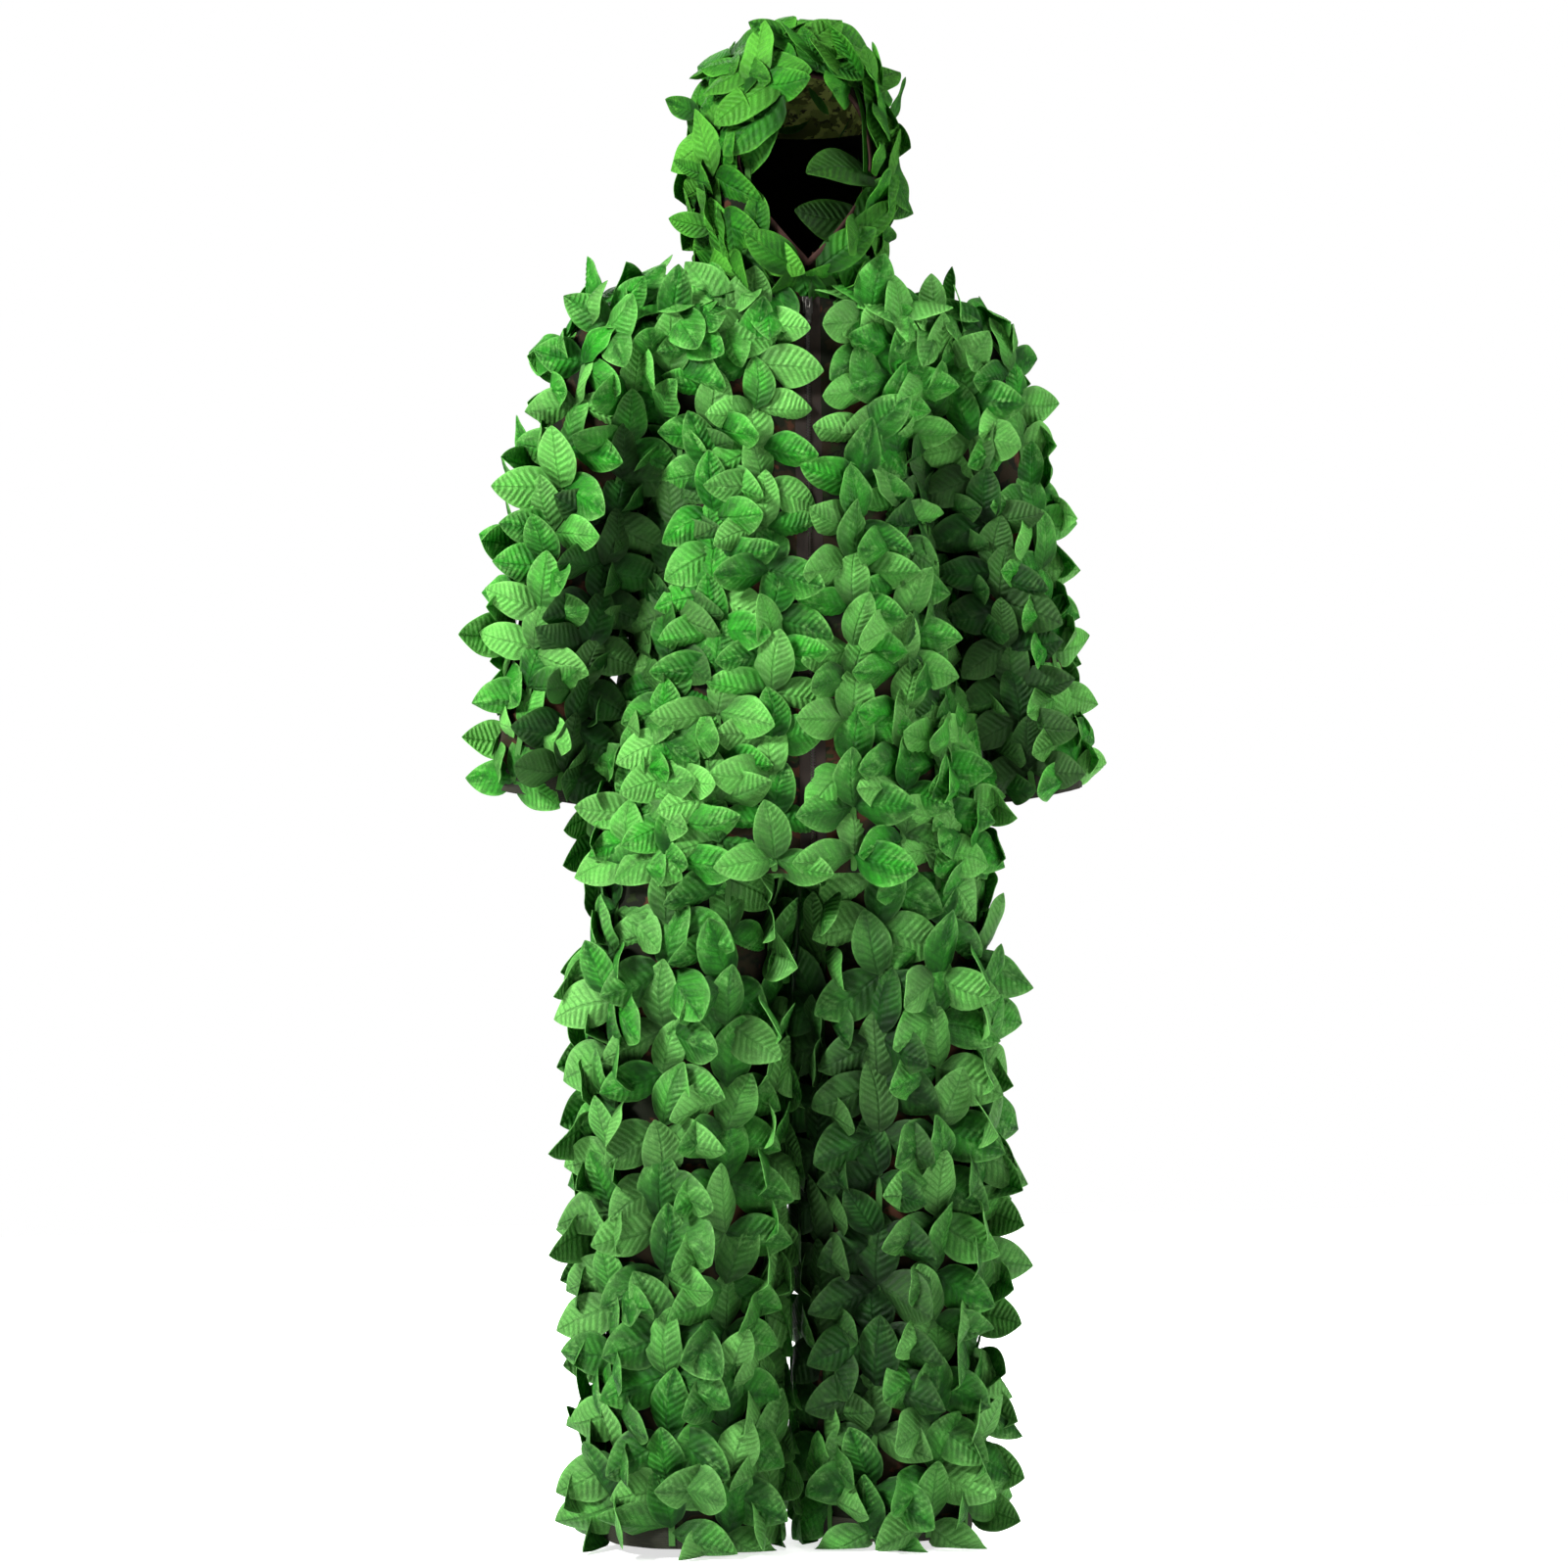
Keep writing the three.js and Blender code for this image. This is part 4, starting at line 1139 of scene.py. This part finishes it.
def build_sleeve(word, side):
    surface = sleeve(side)
    pieces, cut = {}, {}
    for part, high, low in (
        ("upper", SLEEVE_TOP, SLEEVE_SPLIT),
        ("lower", SLEEVE_SPLIT, SLEEVE_LENGTH - 0.022),
    ):
        rows = int((low - high) / 0.007)
        for half, first in (("front", 180), ("back", 0)):
            name = f"{part}_sleeve_{half}_{word}"
            place = straight(first, 180, high, low)
            cloth, size = panel(name, surface, place, 34, rows, 51 + side, 0.003, 34, LINED)
            keep(cloth, None, "base_cloth", name)
            pieces[part, half], cut[part, half] = cloth, size

    t, s = round_grid(8, 80)
    v = SLEEVE_LENGTH - CUFF + CUFF * t
    lift = 0.0012 + 0.0012 * np.sin(np.pi * t) + 0.0007 * np.sin(np.radians(s) * 17)
    flat = np.stack([np.radians(s) * 0.05, v, 0 * v], -1)
    cuff = cloth_sheet(f"cuff_{word}_cloth", surface, s, v, lift, BAND, ("band", "lining"), flat, True)
    keep(cuff, f"lower_sleeve_{word}", "lining", f"cuff_{word}")
    declare(cuff, 0.33, 0.031, 1.1, "hung", [f"lower_sleeve_front_{word}_cloth"])

    leaves = {"upper": Foliage(), "lower": Foliage()}
    vs = np.linspace(SLEEVE_LENGTH - 0.012, -0.03, 40)
    for k, u0 in enumerate((-50, 10, 70, 130, -170, -110)):
        leaves["lower"].ribbon(surface, u0, vs[vs >= SLEEVE_SPLIT])
        leaves["upper"].ribbon(surface, u0, vs[vs <= SLEEVE_SPLIT + 0.02], in_torso)
        for foot, up, out, v, u in strip_of(surface, u0, vs, JACKET_PITCH, 0.010 + 0.016 * (k % 2)):
            if in_torso(foot, 0.002):
                continue
            outward = math.cos(math.radians(u))
            inner = smoothstep(-outward, 0.3, 0.9)
            stand = smoothstep(v, 0.08, 0.18) * (1 - smoothstep(v, 0.28, 0.42))
            if side < 0:  # this sleeve's leaves stand out most at the shoulder's corner
                corner = 1.2 * (1 - smoothstep(v, 0.005, 0.045)) - 0.3 * smoothstep(v, 0.40, 0.46)
                stand = 1.8 * stand - 0.6 + corner
            else:
                stand = 0.35 * stand - 0.45
            lift = 1 - 0.6 * inner + stand * smoothstep(outward, 0.2, 0.8)
            # painted shade: leaves on the front of the sleeve's inner side, beside the body, are darkened
            # where shadow falls between sleeve and body
            turned = abs((u + 318) % 360 - 180)  # from the middle of the front's inner side
            shade = 1 - 0.76 * (1 - smoothstep(turned, 26, 70)) * smoothstep(v, 0.06, 0.14)
            part = "upper" if v < SLEEVE_SPLIT else "lower"
            leaves[part].triad(JACKET_LEAVES, foot, up, out, lift, 1.0, 0.97, 6, shade)
    if side < 0:
        for u0, v0, turn, tilt in CORNER_LEAVES:
            foot, above = (surface.point(np.array([u0]), np.array([v]))[0] for v in (v0, v0 - 0.004))
            leaves["upper"].add_at(JACKET_LEAVES[1], surface, u0, v0, above - foot, 0.004, turn, tilt, 0.0)
    for part in ("upper", "lower"):
        name = f"{part}_sleeve_leaves_{word}"
        piece = leaves[part].make(name + "_sewn", "jacket_leaf")
        pieces[part, "leaves"] = keep(piece, None, "jacket_leaf", name)

    across = np.array([0.68 * side, 0, -0.73]) * SHOULDER_REACH
    start = np.array([0.203 * side, 0, 1.347 - WAIST])
    elbow = np.array(JOINTS[f"elbow_{word}"]["pos_m"])
    reach = ARM * np.array([side, 1, 1]) * ELBOW_REACH
    bend = {
        "upper": (("jacket", f"upper_sleeve_{word}"), start, start + across),
        "lower": ((f"upper_sleeve_{word}", f"lower_sleeve_{word}"), elbow - reach, elbow + reach),
    }
    join_limb(pieces, cut, bend, "jacket_back_cloth")



# ---- Hood ---------------------------------------------------------------------------------------

# Single leaves round the face opening: where each is sewn on and where its tip is, across and in height
# (mm), with its tilt off the hood and its roll (degrees), and its painted shade, a colour factor that is low
# for the leaves in shadow inside the opening
FACE_LEAVES = (
    (-55, 1716, -108, 1752, 8, 10, 1.0),
    (-20, 1699, -43, 1764, 6, -8, 1.0),
    (12, 1702, 6, 1764, 10, 12, 1.0),
    (60, 1690, 26, 1752, 20, 60, 1.0),
    (73, 1684, 76, 1742, 14, -10, 1.0),
    (85, 1662, 118, 1696, 16, 10, 1.0),
    (-30, 1692, -98, 1646, 6, 14, 0.9),
    (-28, 1676, -92, 1618, 4, 6, 0.9),
    (-40, 1658, -84, 1596, 2, 0, 0.85),
    (-50, 1702, -118, 1668, 8, 10, 1.0),
    (-78, 1640, -104, 1580, 6, 10, 0.9),
    (-100, 1598, -88, 1524, 4, 24, 0.95),
    (-80, 1556, -66, 1484, 10, -10, 1.0),
    (-62, 1506, -52, 1444, 6, 6, 0.9),
    (-92, 1560, -96, 1490, 8, 8, 0.8),
    (76, 1588, -30, 1608, -8, 34, 0.40),
    (66, 1538, -16, 1552, -26, 14, 0.22),
    (72, 1686, 52, 1616, 6, 10, 0.85),
    (-101, 1664, -146, 1676, 52, 20, 1.0),
    (-99, 1592, -144, 1599, 50, -10, 1.0),
    (-92, 1532, -144, 1534, 46, 14, 1.0),
)

LEAF_LENGTH = 0.074  # a hood leaf's usual length from foot to tip, as it curls

CROWN_TOP = 0.752  # the hood's leaves stay below this, in the frame
HOOD_PITCH, EDGE_PITCH = 0.045, 0.036


def hood_edge(v, margin):
    """The angle of the face opening's edge, on the left half, at level v."""
    half = np.maximum(face_half(hood.height(v), margin), 0.0012)
    return angle_at(hood, v, half)


def below_crown(p):
    z = -softly_above(-p[:, 2], -CROWN_TOP, 0.012)
    return np.stack([p[:, 0], p[:, 1], z], -1)


def cover_hood(leaves, side):
    # along the edge of the face opening
    vs = np.linspace(0.25, 6.1 if side > 0 else 1.0, 60)
    for foot, up, out, *_ in strip_of(hood, to_side(side, hood_edge(vs, 0.014)), vs, EDGE_PITCH, 0.0):
        turns = side * rng.normal(150, 12), side * rng.normal(105, 12), rng.normal(0, 12)
        for turn, chance in zip(turns, (0.9, 0.9, 0.8)):
            if rng.uniform() < chance:
                tilt, roll = rng.uniform(5, 18), rng.normal(0, 12)
                leaves.add(HOOD_LEAVES[0], foot + out * 0.005, up, out, turn, tilt, roll)
    for u0, top in ((-52, 6.3), (-26, 6.3), (0, 6.5), (30, 6.3), (62, 6.6)):
        vs = np.linspace(0.3, top, 60)
        leaves.ribbon(hood, to_side(side, u0), vs)
        for foot, up, out, *_ in strip_of(hood, to_side(side, u0), vs, HOOD_PITCH, rng.uniform(0, 0.03)):
            if abs(foot[0]) < face_half(foot[2] + WAIST, 0.012) and foot[1] < 0:
                continue
            lift = rng.uniform(0.3, 0.75) if side < 0 else rng.uniform(0.5, 1.0)
            leaves.triad(HOOD_LEAVES, foot, up, out, lift, 0.96, 0.95, 14)
    # over the crown
    for u0, v0 in [(u, 6.2) for u in np.linspace(-80, 85, 7)] + [(u, 7.0) for u in (-60, 0, 60)]:
        v = v0 + rng.uniform(-0.2, 0.2)
        turn, tilt, roll = rng.normal(0, 25), rng.uniform(4, 16), rng.normal(0, 15)
        leaves.add_at(HOOD_LEAVES[0], hood, to_side(side, u0), v, UP, 0.006, turn, tilt, roll)
    for x0, h0, x1, h1, tilt, roll, shade in FACE_LEAVES:
        if (x0 > 0) == (side > 0):
            v = hood.level(h0 / 1000)
            u = to_side(side, angle_at(hood, v, x0 / 1000))
            toward = np.array([x1 - x0, 0, h1 - h0]) / 1000
            size = np.linalg.norm(toward) / LEAF_LENGTH
            leaves.add_at(HOOD_LEAVES[0], hood, u, v, toward, 0.008, 0, tilt, roll, size, shade)


def face_binding():
    """The bound edge round the face: a folded band swept along the opening."""
    around = np.radians(np.linspace(0, 360, 121)[:-1])
    h = FACE_MIDDLE + np.where(np.sin(around) > 0, FACE_RISE, FACE_DROP) * np.sin(around)
    x = np.sign(np.cos(around)) * face_half(h)
    v = hood.level(h)
    u = angle_at(hood, v, np.abs(x))
    centre, out = hood.frame(np.where(x < 0, 180 - u, u), v)
    along = unit(np.roll(centre, -1, 0) - np.roll(centre, 1, 0))
    away = np.cross(out, along)
    ring = []
    for turn in np.radians(np.linspace(0, 360, 13)[:-1]):
        ring.append(centre + away * 0.0036 * math.cos(turn) + out * (0.0018 * math.sin(turn) + 0.0003))
    points = np.stack(ring, 1)
    rows, cols = points.shape[:2]
    index = np.pad(np.arange(rows * cols).reshape(rows, cols), ((0, 1), (0, 1)), "wrap")
    flat = np.stack(np.broadcast_arrays(np.arange(rows)[:, None] * 0.0055, np.arange(cols) * 0.002, 0.0), -1)
    places = {"cloth": flat.reshape(-1, 3)}
    faces = [grid_quads(index)]
    return make_object("face_binding_tape", points.reshape(-1, 3), faces, ["binding"], places, 80)


def build_hood():
    pieces = []
    for word, side in SIDES:

        def place(s, t):
            v = 0.1 + 8.85 * (1 - t)
            return to_side(side, 90 + (hood_edge(v, 0.0) - 90) * s), v

        name = f"hood_{word}"
        cloth, cut = panel(name, hood, place, 60, 70, 0, 0.0022, 30, LINED, STOUT_CLOTH)
        keep(cloth, "hood", "lining", name)
        leaves = Foliage(below_crown)
        cover_hood(leaves, side)
        name = f"hood_leaves_{word}"
        piece = keep(leaves.make(name + "_sewn", "hood_leaf"), "hood", "hood_leaf", name)
        declare(cloth, *cut, SEAM_EASE, "hung", ["collar_cloth"], [piece])
        pieces += [cloth, piece]
    pieces.append(keep(face_binding(), "hood", "base_cloth", "face_binding"))
    for piece in pieces:
        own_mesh(piece)


# ---- Zip ----------------------------------------------------------------------------------------

ZIP_TOP = np.array(JOINTS["zip_slide"]["pos_m"])
ZIP_DOWN = unit(np.array(JOINTS["zip_slide"]["axis"]))
ZIP_ACROSS = np.array([1.0, 0, 0])
ZIP_OUT = unit(np.cross(ZIP_DOWN, ZIP_ACROSS))
if ZIP_OUT[1] > 0:
    ZIP_OUT = -ZIP_OUT
TAPE_WIDTH = 0.0135
TOOTH_PITCH = 0.0030
TOOTH_LENGTH = 0.00135

# Blocks beside the zip in mm: from and to across it, out from it and down it, and how much is cut off
# their edges
STOP_BLOCKS = (
    (-4.2, 4.2, -1.8, 1.7, 0.6, 5.2, 0.7),
    (-3.0, 3.0, 1.5, 2.3, 1.2, 4.6, 0.3),
)
SLIDER_BLOCKS = (
    (-6.0, 6.0, 1.6, 3.4, 0.4, 19.6, 0.7),
    (-6.0, 6.0, -3.4, -1.8, 0.4, 19.6, 0.6),
    (-6.0, -4.8, 0.5, 2.0, 5.0, 19.0, 0.3),
    (4.8, 6.0, 0.5, 2.0, 5.0, 19.0, 0.3),
    (-1.5, 1.5, 3.2, 4.2, 1.4, 4.4, 0.3),
    (-1.5, 1.5, 3.2, 4.2, 12.0, 15.0, 0.3),
)
PULL_BLOCKS = (
    (-3.0, 3.0, -0.8, 0.8, -1.2, 1.2, 0.3),
    (-3.0, -1.4, -0.8, 0.8, 0.8, 9.0, 0.3),
    (1.4, 3.0, -0.8, 0.8, 0.8, 9.0, 0.3),
    (-3.4, 3.4, -0.8, 0.8, 8.6, 11.0, 0.3),
    (-3.7, 3.7, -0.8, 0.8, 10.4, 25.0, 0.5),
    (-2.6, 2.6, -0.6, 1.1, 12.5, 23.5, 0.3),
    (-3.0, 3.0, -0.8, 0.8, 24.4, 26.8, 0.4),
)


def zip_place(x, out, down):
    """Points beside the zip: x across, out in front of it, down its length."""
    x, out, down = (grid[..., None] for grid in np.broadcast_arrays(x, out, down))
    return ZIP_TOP + x * ZIP_ACROSS + out * ZIP_OUT + down * ZIP_DOWN


def block(x0, x1, o0, o1, d0, d1, soft):
    """A block beside the zip with its edges cut off, as points and quads."""
    ring = [(x0 + soft, o0), (x1 - soft, o0), (x1, o0 + soft), (x1, o1 - soft)]
    ring += [(x1 - soft, o1), (x0 + soft, o1), (x0, o1 - soft), (x0, o0 + soft)]
    ring = np.array(ring)
    centre = ring.mean(0)
    layers = []
    for down, shrink in ((d0, 1), (d0 + soft, 0), (d1 - soft, 0), (d1, 1)):
        size = 1 - shrink * soft * 2.4 / max(x1 - x0, o1 - o0)
        at = centre + (ring - centre) * size
        layers.append(zip_place(at[:, 0], at[:, 1], down))
    index = np.pad(np.arange(32).reshape(4, 8), ((0, 0), (0, 1)), "wrap")
    end = np.array([(0, 1, 2, 3), (0, 3, 4, 7), (7, 4, 5, 6)])
    return np.concatenate(layers), np.concatenate([grid_quads(index), end[:, ::-1], end + 24])


def joined(name, blocks, material, out=0.0, down=0.0):
    """Blocks in mm as one piece, moved out and down in metres."""
    points, quads, count = [], [], 0
    shift = np.array([0, 0, out, out, down, down, 0])
    for sizes in blocks:
        p, q = block(*(np.array(sizes) / 1000 + shift))
        points.append(p)
        quads.append(facing_out(p, [q])[0] + count)
        count += len(p)
    points = np.concatenate(points)
    return make_object(name, points, [np.concatenate(quads)], [material], {"cloth": points}, 40)


def build_zip():
    low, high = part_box("zip_teeth_left")
    length = float((high - low).z) / abs(ZIP_DOWN[2])
    for word, side in SIDES:
        t, s = np.meshgrid(np.linspace(0, 1, 160), np.linspace(0, 1, 8), indexing="ij")
        x = side * (0.0024 + 0.0128 * s)
        bead = 0.0006 * np.exp(-(((s - 0.06) / 0.1) ** 2))
        out = -0.0006 + bead + 0.0003 * np.sin(t * 90 + side)
        top, under = (zip_place(x, out + half, t * length) for half in (0.0004, -0.0004))
        flat = np.stack([t * length, x, 0 * x], -1)
        tape = two_layers(f"zip_tape_{word}_woven", top, under, ("zip_tape", "zip_tape"), flat)
        keep(tape, "jacket", "zip_tape", f"zip_tape_{word}")
        declare(tape, TAPE_WIDTH, length, 1.0, "laid", [f"jacket_front_{word}_cloth"])

        across = sorted((-side * 1.2, side * 3.0))
        teeth = []
        for k in range(int(length / TOOTH_PITCH) - 1):
            down = 1000 * (0.001 + TOOTH_PITCH * (k + (0.5 if side > 0 else 0.0)))
            teeth.append((*across, -1.1, 1.2, down, down + 1000 * TOOTH_LENGTH, 0.3))
        row = joined(f"zip_teeth_{word}_moulded", teeth, "zip_teeth")
        keep(row, "jacket", "zip_teeth", f"zip_teeth_{word}")

    stop = joined("zip_bottom_stop_moulded", STOP_BLOCKS, "zip_metal", down=length)
    keep(stop, "jacket", "zip_teeth", "zip_bottom_stop")
    keep(joined("zip_slider_cast", SLIDER_BLOCKS, "zip_metal"), "zip_slider", "zip_metal", "zip_slider")
    pivot = np.array(JOINTS["zip_pull_flip"]["pos_m"]) - ZIP_TOP
    pull = joined("zip_pull_cast", PULL_BLOCKS, "zip_metal", pivot @ ZIP_OUT, pivot @ ZIP_DOWN)
    keep(pull, "zip_pull", "zip_metal", "zip_pull")


build_seat()
build_jacket()
build_zip()
build_hood()
for word, side in SIDES:
    build_leg(word, side)
    build_sleeve(word, side)

# ---- Studio -------------------------------------------------------------------------------------

LIGHTS = (  # name, place, power and size
    ("key", (-3.9, -2.0, 2.6), 680, 1.1),
    ("side", (3.6, -1.2, 2.0), 160, 1.4),
    ("top", (0.4, -1.6, 3.4), 45, 1.6),
    ("back", (0.0, 3.6, 2.2), 110, 2.2),
)
WHITE = (1, 1, 1, 1)


def build_floor():
    g = Graph("pale_floor")
    tint = g.noise(g.node("TexCoord").outputs["Object"], 1.5, 3.0, 0.5)
    color = g.mix(tint, (0.86, 0.86, 0.86, 1), (0.9, 0.9, 0.9, 1))
    glow = {"Emission_Color": WHITE, "Emission_Strength": 0.7}
    mesh = bpy.data.meshes.new("floor")
    build = bmesh.new()
    bmesh.ops.create_grid(build, x_segments=8, y_segments=8, size=3.6)
    build.to_mesh(mesh)
    build.free()
    mesh.materials.append(g.done(g.principled(Base_Color=color, Roughness=0.8, **glow)))
    floor = bpy.data.objects.new("floor", mesh)
    floor.location.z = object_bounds()[0].z - 0.002
    scene.collection.objects.link(floor)


def build_world():
    """White where the camera sees it, and a dim soft light on the suit."""
    world = bpy.data.worlds.new("studio")
    scene.world = world
    world.use_nodes = True
    tree = world.node_tree
    kinds = ("Background", "Background", "MixShader")
    seen, soft, both = (tree.nodes.new("ShaderNode" + kind) for kind in kinds)
    for node, strength in ((seen, 1.0), (soft, 0.13)):
        node.inputs["Strength"].default_value = strength
        node.inputs["Color"].default_value = WHITE
    path = tree.nodes.new("ShaderNodeLightPath")
    tree.links.new(path.outputs["Is Camera Ray"], both.inputs[0])
    tree.links.new(soft.outputs[0], both.inputs[1])
    tree.links.new(seen.outputs[0], both.inputs[2])
    tree.links.new(both.outputs[0], tree.nodes["World Output"].inputs["Surface"])


def build_lights():
    for name, where, power, size in LIGHTS:
        data = bpy.data.lights.new(name, "AREA")
        data.energy, data.size = power, size
        lamp = bpy.data.objects.new(name, data)
        lamp.location = where
        lamp.rotation_mode = "QUATERNION"
        lamp.rotation_quaternion = (-Vector(where)).to_track_quat("-Z", "Y")
        scene.collection.objects.link(lamp)


build_floor()
build_world()
build_lights()

bpy.context.view_layer.update()
